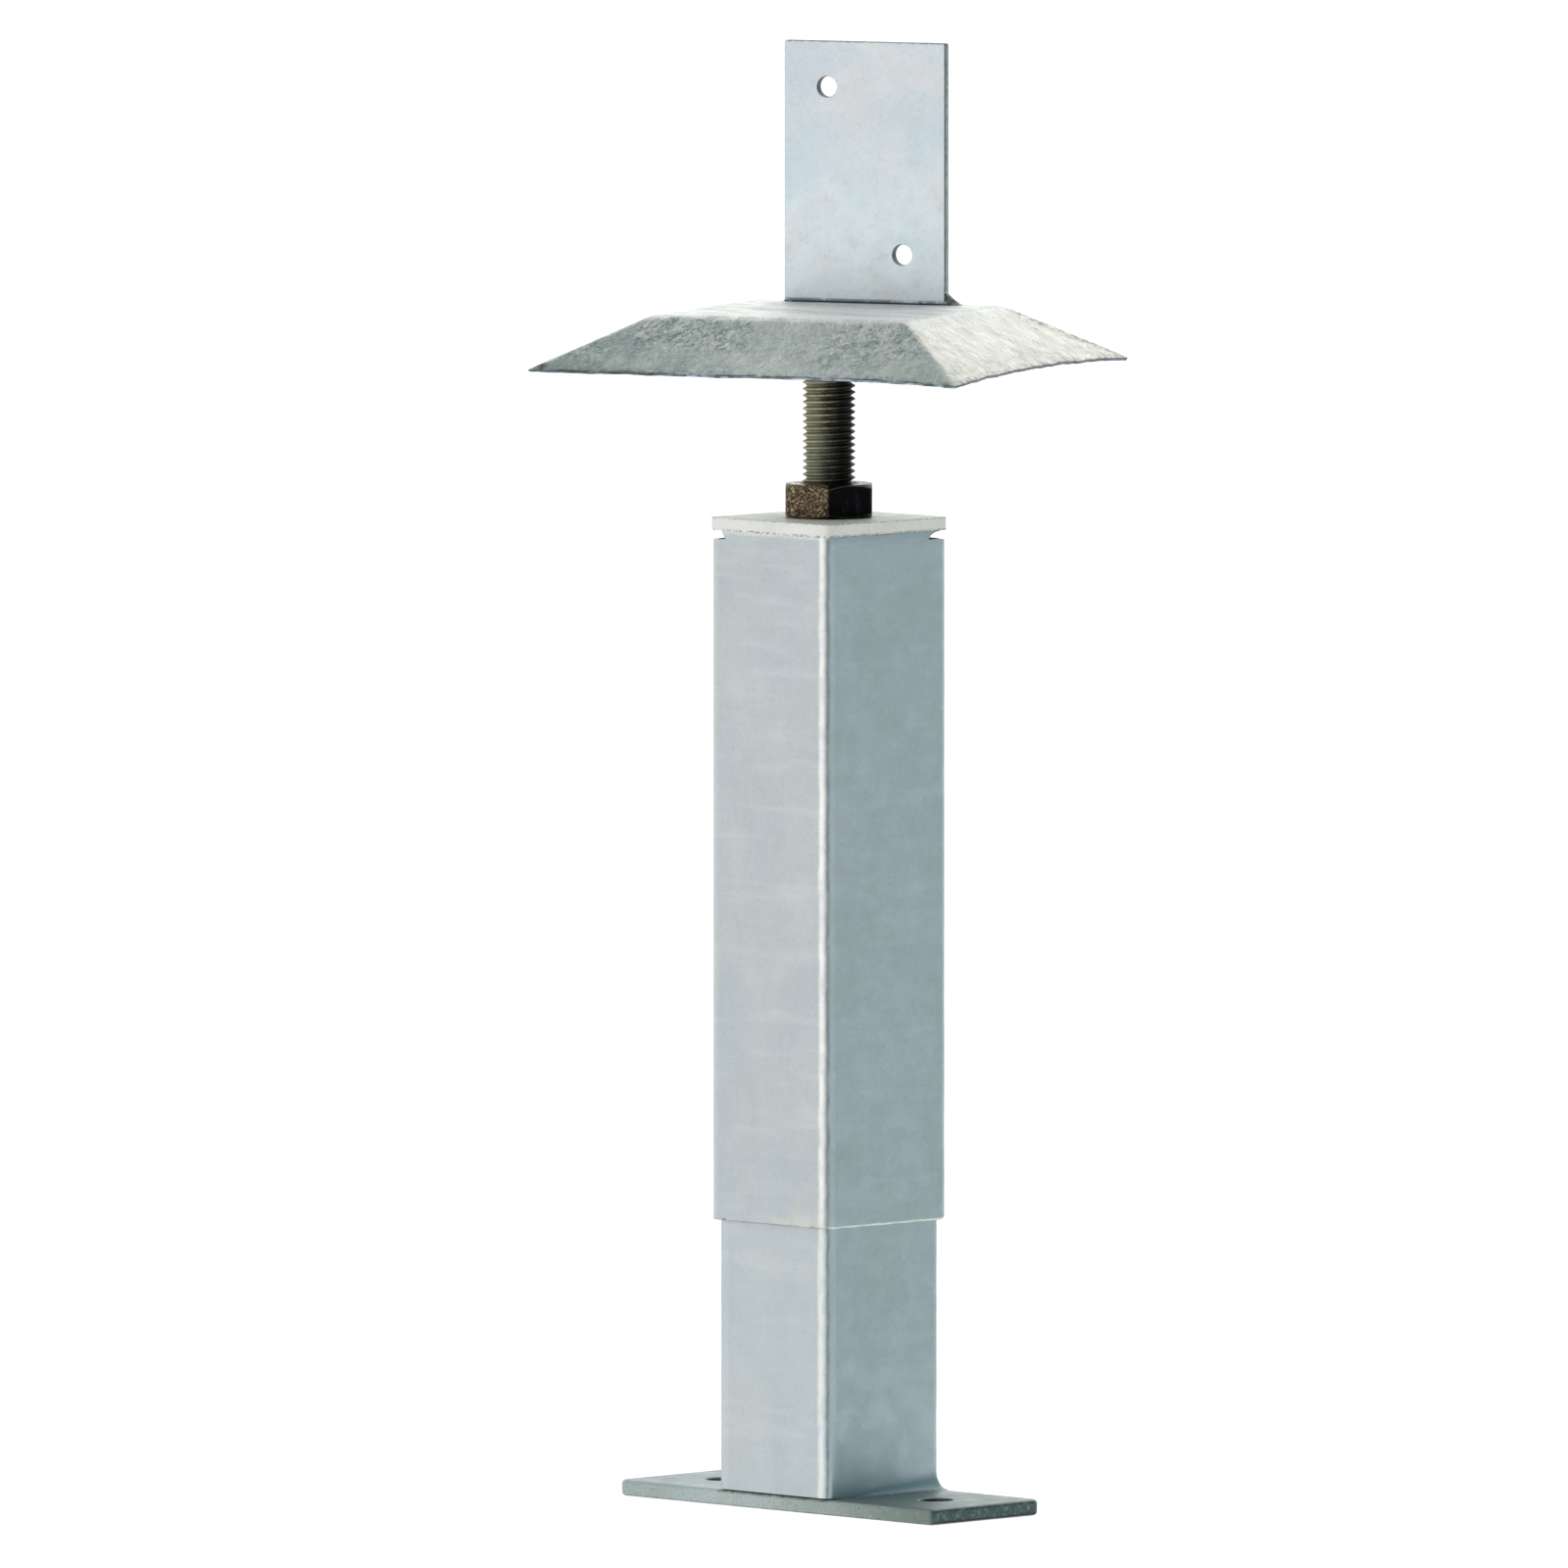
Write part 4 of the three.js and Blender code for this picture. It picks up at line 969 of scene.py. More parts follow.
mat_fin = zinc("zinc_fin", srgb(222, 229, 234), srgb(214, 223, 229), srgb(227, 231, 234), metallic=0.74, rough=0.44,
               mottle=0.9, pits=0.35, streak=0.4, bump=0.8, edge_col=srgb(112, 128, 138), edge_amt=0.55, edge_r=0.45,
               block=FIN_BLOCK, pre=fin_marks)
mat_fin_edge = zinc("zinc_fin_edge", srgb(122, 136, 140), srgb(96, 108, 112), srgb(150, 158, 160), metallic=0.75, rough=0.42,
                    mottle=1.5, pits=0.8, streak=0.2, bump=1.4, edge_col=srgb(46, 60, 66), edge_amt=0.8, edge_r=1.1, block=FIN_BLOCK,
                    pre=hole_marks)


def rod_marks(N, col):
    x, y = N.axis(which=0), N.axis(which=1)
    r = N.math("SQRT", N.math("ADD", N.math("MULTIPLY", x, x), N.math("MULTIPLY", y, y)))
    n1 = N.noise(260, 4, 0.65)
    root = N.ramp(r, 9.15 * MM, 8.55 * MM)
    col = N.mix(N.math("MULTIPLY", N.math("MULTIPLY", root, N.ramp(n1, 0.3, 0.6, 0.35, 1.0)), 0.72), col, srgb(30, 31, 25))
    gr = N.noise(1300, 4, 0.72, vec=N.mapping((1, 1, 1.6)))
    col = N.mix(N.math("MULTIPLY", N.ramp(gr, 0.50, 0.62), 0.52), col, srgb(52, 54, 44))
    col = N.mix(N.math("MULTIPLY", N.ramp(gr, 0.46, 0.36), 0.38), col, srgb(168, 172, 150))
    oil = N.math("MULTIPLY", N.ramp(r, 9.7 * MM, 8.9 * MM), N.ramp(N.noise(210, 5, 0.66, vec=N.mapping((1, 1, 2.0))), 0.46, 0.58))
    col = N.mix(N.math("MULTIPLY", oil, 0.80), col, srgb(14, 14, 9))
    crest = N.math("MULTIPLY", N.ramp(r, 9.84 * MM, 10.00 * MM), N.ramp(N.noise(260, 5, 0.72), 0.40, 0.60, 0.05, 1.0))
    col = N.mix(N.math("MULTIPLY", crest, 0.85), col, srgb(214, 194, 158))
    g = N.noise(80, 3, 0.6)
    col = N.mix(N.math("MULTIPLY", N.ramp(g, 0.42, 0.62), 0.45), col, srgb(96, 112, 106))
    z = N.axis(which=2)
    low = N.ramp(z, (LN_HI[2] + 12) * MM, (LN_HI[2] - 2) * MM)
    col = N.mix(N.math("MULTIPLY", low, 0.35), col, srgb(30, 28, 22))
    # painted light and shade: the rod's left-hand half coloured lighter, its right-hand half near black with less
    # specular
    side = N.math("MULTIPLY", N.math("ADD", x, y), 0.7071)
    lit = N.ramp(side, 0.5 * MM, -6.5 * MM)
    col = N.mix(N.math("MULTIPLY", lit, 0.46), col, srgb(184, 182, 152))
    dark = N.ramp(side, -4.5 * MM, 1.5 * MM)
    col = N.mix(N.math("MULTIPLY", dark, 0.60), col, srgb(24, 24, 18))
    dark = N.ramp(side, -0.5 * MM, 5.0 * MM)
    N.link(N.ramp(side, -0.5 * MM, 5.0 * MM, 0.5, 0.20), N.b.inputs["Specular IOR Level"])
    return N.mix(N.math("MULTIPLY", dark, 0.90), col, srgb(12, 13, 12))


def nut_marks(N, col):
    # painted shade: the side turned to the right is coloured near black, with less specular
    x, y = N.axis(which=0), N.axis(which=1)
    d = N.math("ADD", N.math("MULTIPLY", x, math.cos(math.radians(5))), N.math("MULTIPLY", y, math.sin(math.radians(5))))
    side = N.math("SUBTRACT", N.math("MULTIPLY", x, math.cos(math.radians(44.5))), N.math("MULTIPLY", y, -math.sin(math.radians(44.5))))
    k = N.ramp(side, -0.10 * MM, 0.35 * MM)
    col = N.mix(N.math("MULTIPLY", k, 0.97), col, srgb(6, 8, 12))
    N.link(N.ramp(side, -0.10 * MM, 0.35 * MM, 0.5, 0.06), N.b.inputs["Specular IOR Level"])
    litside = N.math("SUBTRACT", 1.0, k)
    fs = N.noise(1250, 4, 0.74)
    col = N.mix(N.math("MULTIPLY", N.math("MULTIPLY", litside, N.ramp(fs, 0.50, 0.42)), 0.70), col, srgb(22, 15, 9))
    pw = N.ramp(N.noise(150, 4, 0.6), 0.34, 0.62, 0.25, 0.85)
    col = N.mix(N.math("MULTIPLY", N.math("MULTIPLY", litside, N.ramp(fs, 0.54, 0.62)), pw), col, srgb(206, 176, 134))
    # painted sheen towards the near corner, and a lighter line along the left edge
    painted_sheen = N.math("MULTIPLY", N.ramp(side, -6.5 * MM, -1.5 * MM), N.ramp(side, -0.2 * MM, -0.9 * MM))
    z = N.axis(which=2)
    painted_sheen = N.math("MULTIPLY", painted_sheen, N.ramp(z, (LN_LO[2] + 5) * MM, (LN_HI[2] - 2) * MM))
    col = N.mix(N.math("MULTIPLY", N.math("MULTIPLY", painted_sheen, N.ramp(N.noise(260, 4, 0.68), 0.40, 0.62)), 0.75), col, srgb(214, 196, 164))
    el = N.ramp(N.math("ABSOLUTE", N.math("ADD", side, 13.6 * MM)), 1.1 * MM, 0.2 * MM)
    col = N.mix(N.math("MULTIPLY", N.math("MULTIPLY", el, N.ramp(N.noise(420, 4, 0.7), 0.48, 0.60)), 0.85), col, srgb(200, 178, 142))
    st = N.noise(200, 4, 0.6, vec=N.mapping((1, 1, 0.3)))
    return N.mix(N.math("MULTIPLY", N.math("MULTIPLY", k, N.ramp(st, 0.56, 0.70)), 0.5), col, srgb(38, 46, 58))


mat_rod = dark_steel("rod_steel_raw", srgb(134, 134, 114), srgb(184, 178, 150), srgb(80, 84, 72), metallic=0.5, rough=0.44,
                     speckle=0.8, spk_scale=900, pre=rod_marks)
mat_nut = dark_steel("nut_steel_raw", srgb(74, 60, 42), srgb(190, 164, 126), srgb(26, 20, 14), metallic=0.72, rough=0.32,
                     speckle=1.0, spk_scale=1000, edge_col=srgb(176, 160, 130), edge_r=0.00035, pre=nut_marks)
mat_inner = zinc("zinc_inner_fittings", srgb(170, 172, 168), srgb(150, 154, 150), srgb(184, 184, 176), metallic=0.8, rough=0.42,
                 mottle=1.2, pits=1.0, streak=0.0, bump=1.2)


def finish(ob, mat, body, slot, *nodes):
    ob.data.materials.clear()
    ob.data.materials.append(mat)
    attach(ob, body)
    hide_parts(*nodes)
    return ob


# ----------------------------------------------------------------- base pieces
def base_outline():
    w, h = BP_HI[0] - BP_LO[0], BP_HI[1] - BP_LO[1]
    pts, _ = rounded(w, h, (5.2, 5.2, 5.2, 1.8), corner=12, side=1)
    return [tuple(p) for p in pts]


bp = plate("base_plate_v", base_outline(), [circle(6.0, 64, 57.5, 0), circle(6.0, 64, -57.5, 0)], 0.0, BP_HI[2], bevel=1.4, res=5)
finish(bp, mat_base, "base", "base_zinc", "base_plate")


def tube(name, w, t, r, z0, z1, amp, seed, nz=36, wavy_end=0.0):
    pts, nrm = rounded(w, w, r, corner=14, side=14)
    prof = arc_profile(t, z0, z1, 0.16, steps=2, nz=nz, bi=0.16)

    def disp(x, y, z, d):
        dz = 0.0
        if wavy_end and z < z0 + 1.0:
            dz = wavy_end * fbm((x, y, 0), 0.12, 3, seed)
            dz += 1.25 * max(0.0, 1 - math.hypot(x - w / 2 + 1.4, y - w / 2 + 1.4) / 3.4) ** 1.4
        corner = min(abs(x), abs(y)) > w / 2 - r * 1.6
        k = amp * fbm((x, y, z), 0.030, 2, seed)
        if corner and d < 0.5:
            k += 0.10 * fbm((x * 0.3, y * 0.3, z), 0.42, 2, seed + 4)
        return (k, dz)

    return weighted(sweep(name, pts, nrm, prof, disp, sharp=60))


it = tube("inner_tube_v", 60.0, 3.0, 3.2, IT_LO[2], IT_HI[2], 0.03, 2.0)
finish(it, mat_tube, "base", "tube_zinc", "inner_tube")
ot = tube("outer_tube_v", 65.0, 2.0, 4.7, OT_LO[2], OT_HI[2], 0.05, 7.0, wavy_end=0.12)
finish(ot, mat_sleeve, "sleeve", "tube_zinc", "outer_tube")

# foot welds: hollow fillets on the tube's two end faces, growing towards the back and carried round its corner
fp, fn = rounded(60.0, 60.0, 3.2, corner=14, side=60)
for nm, s in (("right", 1), ("left", -1)):
    run = [(p_, n_) for p_, n_ in zip(fp, fn) if p_[0] > 26.0 and -26.7 < p_[1]]
    run = sorted([r_ for r_ in run if r_[1][0] > 0.02 or (r_[1][1] > 0.99 and r_[0][0] > 24.0)],
                 key=lambda r_: (r_[0][1] if r_[1][0] > 0.999 else 60 + math.degrees(math.atan2(r_[1][1], r_[1][0])) + (30 - r_[0][0])))
    pth = [(s * p_[0], p_[1], 6.0) for p_, n_ in run]
    nrm_ = [(s * n_[0], n_[1], 0.0) for p_, n_ in run]
    b = bead_path("foot_weld_%s_v" % nm, pth, (0, 0, 1), nrm_, 5.4, 8.5, concave=1.0, ripple=0.0, pitch=2.2, seg=16,
                  seed=3.0 + s, taper=3.5, jitter=0.05, grow=(8.0, 56.0))
    finish(b, mat_weld_foot, "base", "weld", "foot_weld_%s" % nm)

ip = plate("insert_plate_v", [tuple(p) for p in rounded(53.4, 53.4, 1.5, 4, 1)[0]], [circle(11.0, 64)], IP_LO[2], IP_HI[2], bevel=0.4)
finish(ip, mat_inner, "base", "inner_steel", "insert_plate")
inn = nut("insert_nut_v", 30.0, IN_LO[2], IN_HI[2], 20.8, 0.0)
finish(inn, mat_inner, "base", "inner_steel", "insert_nut")

# --------------------------------------------------------------- sleeve pieces
tp = plate("top_plate_v", [tuple(p) for p in rounded(65.0, 65.0, 3.2, 8, 1)[0]], [circle(11.0, 64)], TP_LO[2], TP_HI[2], bevel=0.3, res=2)
finish(tp, mat_top, "sleeve", "plate_zinc", "top_plate")


def gap_weld(name, start, end, notch0, notch1, nodes, seed):
    """Weld that fills the gap between sleeve rim and top plate, from start to end round the outline, with a slanted or hollow stop at its ends."""
    zc0, zc1 = OT_HI[2] - 0.75, TP_LO[2] + 0.15
    H = zc1 - zc0
    # path along the outside of the sleeve, a little inside its face
    off = 0.15
    pts, nrm = rounded(65.0 - 2 * off, 65.0 - 2 * off, 4.7 - off, corner=14, side=60)
    P = [tuple(p) for p in pts]
    # arc length from the front corner (+x, -y), positive towards +y, negative towards -x
    n = len(P)
    acc = [0.0]
    for i in range(n):
        a, b = np.array(P[i]), np.array(P[(i + 1) % n])
        acc.append(acc[-1] + np.linalg.norm(b - a))
    total = acc[-1]
    ang = [math.atan2(p[1], p[0]) for p in P]
    i0 = min(range(n), key=lambda i: abs(ang[i] - math.radians(-45)))
    s0 = acc[i0]

    def at(s):
        q = (s0 + s) % total
        lo, hi = 0, n
        while hi - lo > 1:
            m = (lo + hi) // 2
            if acc[m] <= q:
                lo = m
            else:
                hi = m
        f = (q - acc[lo]) / max(acc[lo + 1] - acc[lo], 1e-9)
        p = np.array(P[lo]) * (1 - f) + np.array(P[(lo + 1) % n]) * f
        m_ = nrm[lo] * (1 - f) + nrm[(lo + 1) % n] * f
        return p, m_ / np.linalg.norm(m_)

    step = 0.3
    cnt = int((end - start) / step)
    rows = 14
    verts, faces = [], []
    for i in range(cnt + 1):
        u = i / cnt
        for j in range(rows + 1):
            v = j / rows                                   # 0 inside the sleeve rim, 1 at the plate
            vv = min(max((v * H - 0.75) / (H - 0.9), 0.0), 1.0)
            # where the bead stops, its end leans or is hollow
            a = start + notch0(vv)
            b = end - notch1(vv)
            s = a + (b - a) * u
            p, m_ = at(s)
            z = zc0 + H * v
            dist = min(s - a if notch0 is not none_ else 9.0, b - s if notch1 is not none_ else 9.0)
            rip = 0.025 * abs(math.sin(s * math.pi / 1.7 + 0.6 * fbm((s, 0, 0), 0.3, 1, seed)))
            k = 0.10 + 0.02 * math.sin(math.pi * v) + rip * math.sin(math.pi * v) + 0.04 * fbm((s, z, 0), 0.25, 2, seed)
            k -= 0.11 * max(0.0, 1 - v / 0.2)
            k -= 0.5 * max(0.0, 1 - dist / 0.5)
            verts.append((p[0] + m_[0] * k, p[1] + m_[1] * k, z))
        for j in range(rows + 1):
            v = 1 - j / rows
            vv = min(max((v * H - 0.75) / (H - 0.9), 0.0), 1.0)
            a = start + notch0(vv)
            b = end - notch1(vv)
            s = a + (b - a) * u
            p, m_ = at(s)
            verts.append((p[0] - m_[0] * 1.9, p[1] - m_[1] * 1.9, zc0 + H * v))
    m = 2 * (rows + 1)
    for i in range(cnt):
        for j in range(m):
            j2 = (j + 1) % m
            faces.append((i * m + j, (i + 1) * m + j, (i + 1) * m + j2, i * m + j2))
    faces.append(tuple(range(m)))
    faces.append(tuple(cnt * m + j for j in reversed(range(m))))
    ob = make(name, verts, faces, sharp=50)
    finish(ob, mat_gap, "sleeve", "weld", *nodes)
    return ob


E = 62.4                                                     # from the front corner's middle to the next corner's, along the outline
none_ = lambda v: 0.0
slant = lambda v: 2.45 * (1 - v)                              # leans: shorter at the sleeve rim
hollow = lambda v: 8.3 * math.sqrt(max(0.0, 1 - v * v))       # hollow: cut away in a curve
gap_weld("top_weld_front_v", -E + 5.0, 0.0, slant, none_, ["top_weld_front"], 1.0)
gap_weld("top_weld_right_v", 0.0, E - 0.9, none_, hollow, ["top_weld_right"], 2.0)
gap_weld("top_weld_back_v", E + 11.0, 2 * E, slant, none_, ["top_weld_back"], 3.0)
gap_weld("top_weld_left_v", 2 * E, 3 * E - 11.0, none_, slant, ["top_weld_left"], 4.0)

# ----------------------------------------------------------------- head pieces
rod = thread("threaded_rod_v", 10.08, 2.5, RD_LO[2], RD_HI[2], seg=72, m=12, yaw=0.0)
finish(rod, mat_rod, "head", "rod_steel", "threaded_rod")

ln = nut("lock_nut_v", 33.0, LN_LO[2], LN_HI[2] - 0.8, 20.8, math.radians(-45.5), per=20, wob=0.05, seed=2.0)
finish(ln, mat_nut, "lock_nut", "nut_steel", "lock_nut")
jn = nut("jam_nut_v", 30.0, JN_LO[2], JN_HI[2], 20.8, math.radians(32.7))
finish(jn, mat_inner, "head", "inner_steel", "jam_nut")

wpts = np.array(circle(18.5, 96))
ws = sweep("washer_v", wpts, wpts / 18.5, arc_profile(18.5 - 10.4, WS_LO[2], WS_HI[2], 0.35, steps=3), sharp=40)
finish(weighted(ws), mat_inner, "head", "inner_steel", "washer")
spts = np.array(circle(30.0, 128))
sp = sweep("seat_plate_v", spts, spts / 30.0, arc_profile(30.0 - 10.3, SP_LO[2], SP_HI[2], 0.5, steps=3), sharp=40)
finish(weighted(sp), mat_inner, "head", "inner_steel", "seat_plate")


def ring_weld(name, r, z, leg, seed):
    """A rippled fillet ring round a rod under a plate."""
    n, m = 240, 10
    verts, faces = [], []
    for i in range(n):
        a = 2 * math.pi * i / n
        s = a * r
        rip = 0.14 * abs(math.sin(s * math.pi / 2.1))
        k = 1 + 0.08 * fbm((10 * math.cos(a), 10 * math.sin(a), 0), 0.2, 2, seed)
        ring = [(r - 0.2, z + 0.1)]
        for j in range(m + 1):
            t = j / m
            rr = r + leg * k * (1 - t) + (rip + 0.25) * math.sin(math.pi * t)
            zz = z - leg * k * t - (rip + 0.25) * math.sin(math.pi * t)
            ring.append((rr, zz))
        ring.append((r - 0.2, z - leg * k))
        for rr, zz in ring:
            verts.append((rr * math.cos(a), rr * math.sin(a), zz))
    q = m + 3
    for i in range(n):
        j = (i + 1) % n
        for a in range(q):
            b = (a + 1) % q
            faces.append((i * q + a, j * q + a, j * q + b, i * q + b))
    return make(name, verts, faces, sharp=60)


rw = ring_weld("rod_weld_v", 10.1, SP_LO[2] + 0.0, 4.0, 5.0)
finish(rw, mat_weld, "head", "weld", "rod_weld")


def build_hood():
    """Pressed sheet: a square truncated pyramid with soft folds, hammered faces and an uneven cut rim."""
    z_rim, z_top = HD_LO[2], HD_HI[2]
    rf, rr = HOOD_FLAT / 2, HOOD_RIM / 2
    slope = (z_top - z_rim) / (rr - rf) * 0.98
    per = 88                                                 # points along each side
    levels = 64
    dirs = []
    for k in range(4):
        for i in range(per):
            t = -1 + 2 * i / per
            dirs.append([(t, -1), (1, t), (-t, 1), (-1, -t)][k])

    def smax(a, b, k):
        h = max(k - abs(a - b), 0.0) / k
        return max(a, b) + h * h * k * 0.25

    def surf(x, y):
        s = smax(abs(x), abs(y), 3.5)
        d = s - rf - 0.5
        # softened fold between the flat top and the slope
        k = 2.6
        if d <= -k:
            z = 0.0
        elif d < k:
            z = -slope * (d + k) ** 2 / (4 * k)
        else:
            z = -slope * d
        z += z_top
        f = min(max(d / (rr - rf), 0.0), 1.0)
        on = min(max((d + 2) / 8, 0.0), 1.0)
        # broad dents and hammering on the slopes, a faint unevenness on top
        z += (0.10 + 0.30 * on) * fbm((x, y, 0), 0.035, 3, 11.0)
        z += 0.16 * on * fbm((x, y, 0), 0.14, 3, 5.0)
        z += 0.07 * on * fbm((x * 1.0, y * 1.0, 3), 0.5, 3, 8.0)
        # the right side's rim is arched, so its two corners hang lower; the front side arches a little
        if x > 0 and x >= abs(y) * 0.98:
            z += f * f * 2.0 * math.cos(min(abs(y) / rr, 1.0) * math.pi / 2) ** 0.8
        if y < 0 and -y >= abs(x) * 0.98:
            z += f * f * 0.9 * math.cos(min(abs(x) / rr, 1.0) * math.pi / 2)
        # the front right corner droops, the left corner turns up slightly
        c1 = max(0.0, 1 - math.hypot(x - rr, y + rr) / 34)
        z -= 1.0 * c1 * c1
        c2 = max(0.0, 1 - math.hypot(x - rr, y - rr) / 60)
        z -= 0.7 * c2
        c3 = max(0.0, 1 - math.hypot(x + rr, y + rr) / 50)
        z += 1.2 * c3
        z += f ** 3 * 0.35 * fbm((x, y, 0), 0.11, 3, 21.0)
        return z

    def plan(dx, dy, q):
        x, y = dx * q, dy * q
        # the sheet's corners are slightly rounded in plan
        cr_ = 2.2 * min(max((q - rf) / (rr - rf), 0.0), 1.0)
        if cr_ > 0.1 and min(abs(x), abs(y)) > q - cr_:
            ex, ey = abs(x) - (q - cr_), abs(y) - (q - cr_)
            big, sml = max(ex, ey), min(ex, ey)
            hyp = math.hypot(ex, ey)
            if hyp > cr_:
                ex, ey = ex * cr_ / hyp, ey * cr_ / hyp
            x, y = math.copysign(q - cr_ + ex, x), math.copysign(q - cr_ + ey, y)
        if q > rr - 12:
            w = (q - (rr - 12)) / 12
            e = 0.45 * fbm((x, y, 0), 0.16, 3, 31.0) * w
            x += dx * e
            y += dy * e
        return x, y

    qs = [rf * (i / 12) ** 0.9 for i in range(1, 10)]
    qs += list(np.linspace(rf - 4.2, rf + 4.2, 16))
    qs += list(np.linspace(rf + 4.8, rr, levels - 20))
    verts, faces = [], []
    nd = len(dirs)
    top, bot = [], []
    # upper surface
    verts.append((0, 0, surf(0, 0)))
    for q in qs:
        row = []
        for (dx, dy) in dirs:
            x, y = plan(dx, dy, q)
            row.append(len(verts))
            verts.append((x, y, surf(x, y)))
        top.append(row)
    for i in range(nd):
        faces.append((0, top[0][i], top[0][(i + 1) % nd]))
    for a in range(len(qs) - 1):
        for i in range(nd):
            j = (i + 1) % nd
            faces.append((top[a][i], top[a + 1][i], top[a + 1][j], top[a][j]))
    # lower surface, one sheet thickness down along the face, drawn thinner at the cut rim
    def cut(x, y):
        return 0.42 + 0.16 * min(max((x + y) / 20, 0.0), 1.0)

    c0 = len(verts)
    verts.append((0, 0, surf(0, 0) - HOOD_T))
    th = math.atan(slope)
    for q in qs:
        row = []
        for (dx, dy) in dirs:
            x, y = plan(dx, dy, q)
            on = min(max((q - rf + 2) / 4, 0.0), 1.0)
            drop = HOOD_T * (1 - on) + HOOD_T / math.cos(th) * on
            drop = min(drop, HOOD_T * cut(x, y) + 0.42 * (rr - q))
            if q > rr - 1e-6:
                xi, yi = plan(dx, dy, q - 0.75)
                row.append(len(verts))
                verts.append((xi, yi, surf(x, y) - HOOD_T * cut(x, y)))
                continue
            row.append(len(verts))
            verts.append((x, y, surf(x, y) - drop))
        bot.append(row)
    for i in range(nd):
        faces.append((c0, bot[0][(i + 1) % nd], bot[0][i]))
    for a in range(len(qs) - 1):
        for i in range(nd):
            j = (i + 1) % nd
            faces.append((bot[a][i], bot[a][j], bot[a + 1][j], bot[a + 1][i]))
    # cut rim: a narrow band with a small burr
    rim_faces = []
    mid = []
    for i, (dx, dy) in enumerate(dirs):
        x, y = plan(dx, dy, rr)
        xt, yt, zt = verts[top[-1][i]]
        xb, yb, zb = verts[bot[-1][i]]
        m1 = 0.12 + 0.10 * fbm((x, y, 2), 0.6, 2, 41.0)
        mid.append((len(verts), len(verts) + 1))
        verts.append((xt + dx * m1, yt + dy * m1, zt - 0.22))
        verts.append((xb + dx * (0.40 + m1 * 0.5), yb + dy * (0.40 + m1 * 0.5), zb + 0.06 + 0.12 * fbm((x, y, 9), 0.5, 3, 51.0)))
    for i in range(nd):
        j = (i + 1) % nd
        for quad in ((top[-1][i], mid[i][0], mid[j][0], top[-1][j]),
                     (mid[i][0], mid[i][1], mid[j][1], mid[j][0]),
                     (mid[i][1], bot[-1][i], bot[-1][j], mid[j][1])):
            rim_faces.append(len(faces))
            faces.append(quad)
    c, s = math.cos(YAW), math.sin(YAW)
    v = [((c * x - s * y) * MM, (s * x + c * y) * MM, z * MM) for x, y, z in verts]
    me = bpy.data.meshes.new("rain_hood_v")
    me.from_pydata(v, [], faces)
    me.update()
    ob = bpy.data.objects.new("rain_hood_v", me)
    scene.collection.objects.link(ob)
    me.shade_smooth()
    ob.data.materials.append(mat_hood)
    ob.data.materials.append(mat_rim)
    for f in rim_faces:
        me.polygons[f].material_index = 1
    bm = bmesh.new()
    bm.from_mesh(me)
    bmesh.ops.recalc_face_normals(bm, faces=bm.faces)
    bm.to_mesh(me)
    bm.free()
    me.set_sharp_from_angle(angle=math.radians(45))
    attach(ob, "head")
    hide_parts("rain_hood")
    return surf


hood_z = build_hood()

# the fin stands on the hood's flat top, its face parallel to the hood's front edge
H = FIN_Z1 - FIN_Z0
fo = [(x, y + H / 2) for x, y in rounded(FIN_W, H, 0.8, 4, 1)[0]]
holes = [circle(4.0, 64, -FIN_W / 2 + 17.5, H - 17.5), circle(4.0, 64, FIN_W / 2 - 17.5, 18.5)]
stand = Matrix.Translation((FIN_X * MM, (FIN_Y + FIN_T / 2) * MM, FIN_Z0 * MM)) @ Matrix.Rotation(math.radians(90), 4, "X")
fin = plate("fin_plate_v", fo, holes, -FIN_T / 2, FIN_T / 2, bevel=0.28, res=2, yaw=YAW, stand=stand)
fin.data.materials.clear()
fin.data.materials.append(mat_fin)
fin.data.materials.append(mat_fin_edge)
nf = Vector((math.sin(YAW), -math.cos(YAW), 0))
for p in fin.data.polygons:
    p.material_index = 0 if abs(p.normal.dot(nf)) > 0.75 else 1
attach(fin, "head")
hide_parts("fin_plate")

zt = HD_HI[2]
xr = FIN_X + FIN_W / 2
xl = FIN_X - FIN_W / 2
b = bead_path("fin_weld_back_v", [(xr - 1.0, FIN_Y + FIN_T, zt - 0.1), (xl + 1.0, FIN_Y + FIN_T, zt - 0.1)], (0, 0, 1), [(0, 1, 0), (0, 1, 0)],
              3.2, 3.2, concave=0.15, ripple=0.35, pitch=1.9, seed=9.0, taper=2.0, yaw=YAW, jitter=0.2)
finish(b, mat_weld, "head", "weld", "fin_weld_back")
b = bead_path("fin_weld_end_v", [(xr, FIN_Y - 0.6, zt - 0.1), (xr, FIN_Y + FIN_T + 0.6, zt - 0.1)], (0, 0, 1), [(1, 0, 0), (1, 0, 0)],
              6.2, 4.6, concave=0.55, ripple=0.45, pitch=1.5, seed=13.0, taper=1.2, step=0.15, yaw=YAW, jitter=0.35)
finish(b, mat_weld_dark, "head", "weld", "fin_weld_end")
b = bead_path("fin_weld_end_left_v", [(xl, FIN_Y + FIN_T + 0.4, zt - 0.1), (xl, FIN_Y + 0.2, zt - 0.1)], (0, 0, 1), [(-1, 0, 0), (-1, 0, 0)],
              1.3, 1.3, concave=0.4, ripple=0.15, pitch=1.4, seed=15.0, taper=1.2, step=0.15, yaw=YAW, jitter=0.3)
finish(b, mat_weld_dark, "head", "weld", "fin_weld_end_left")

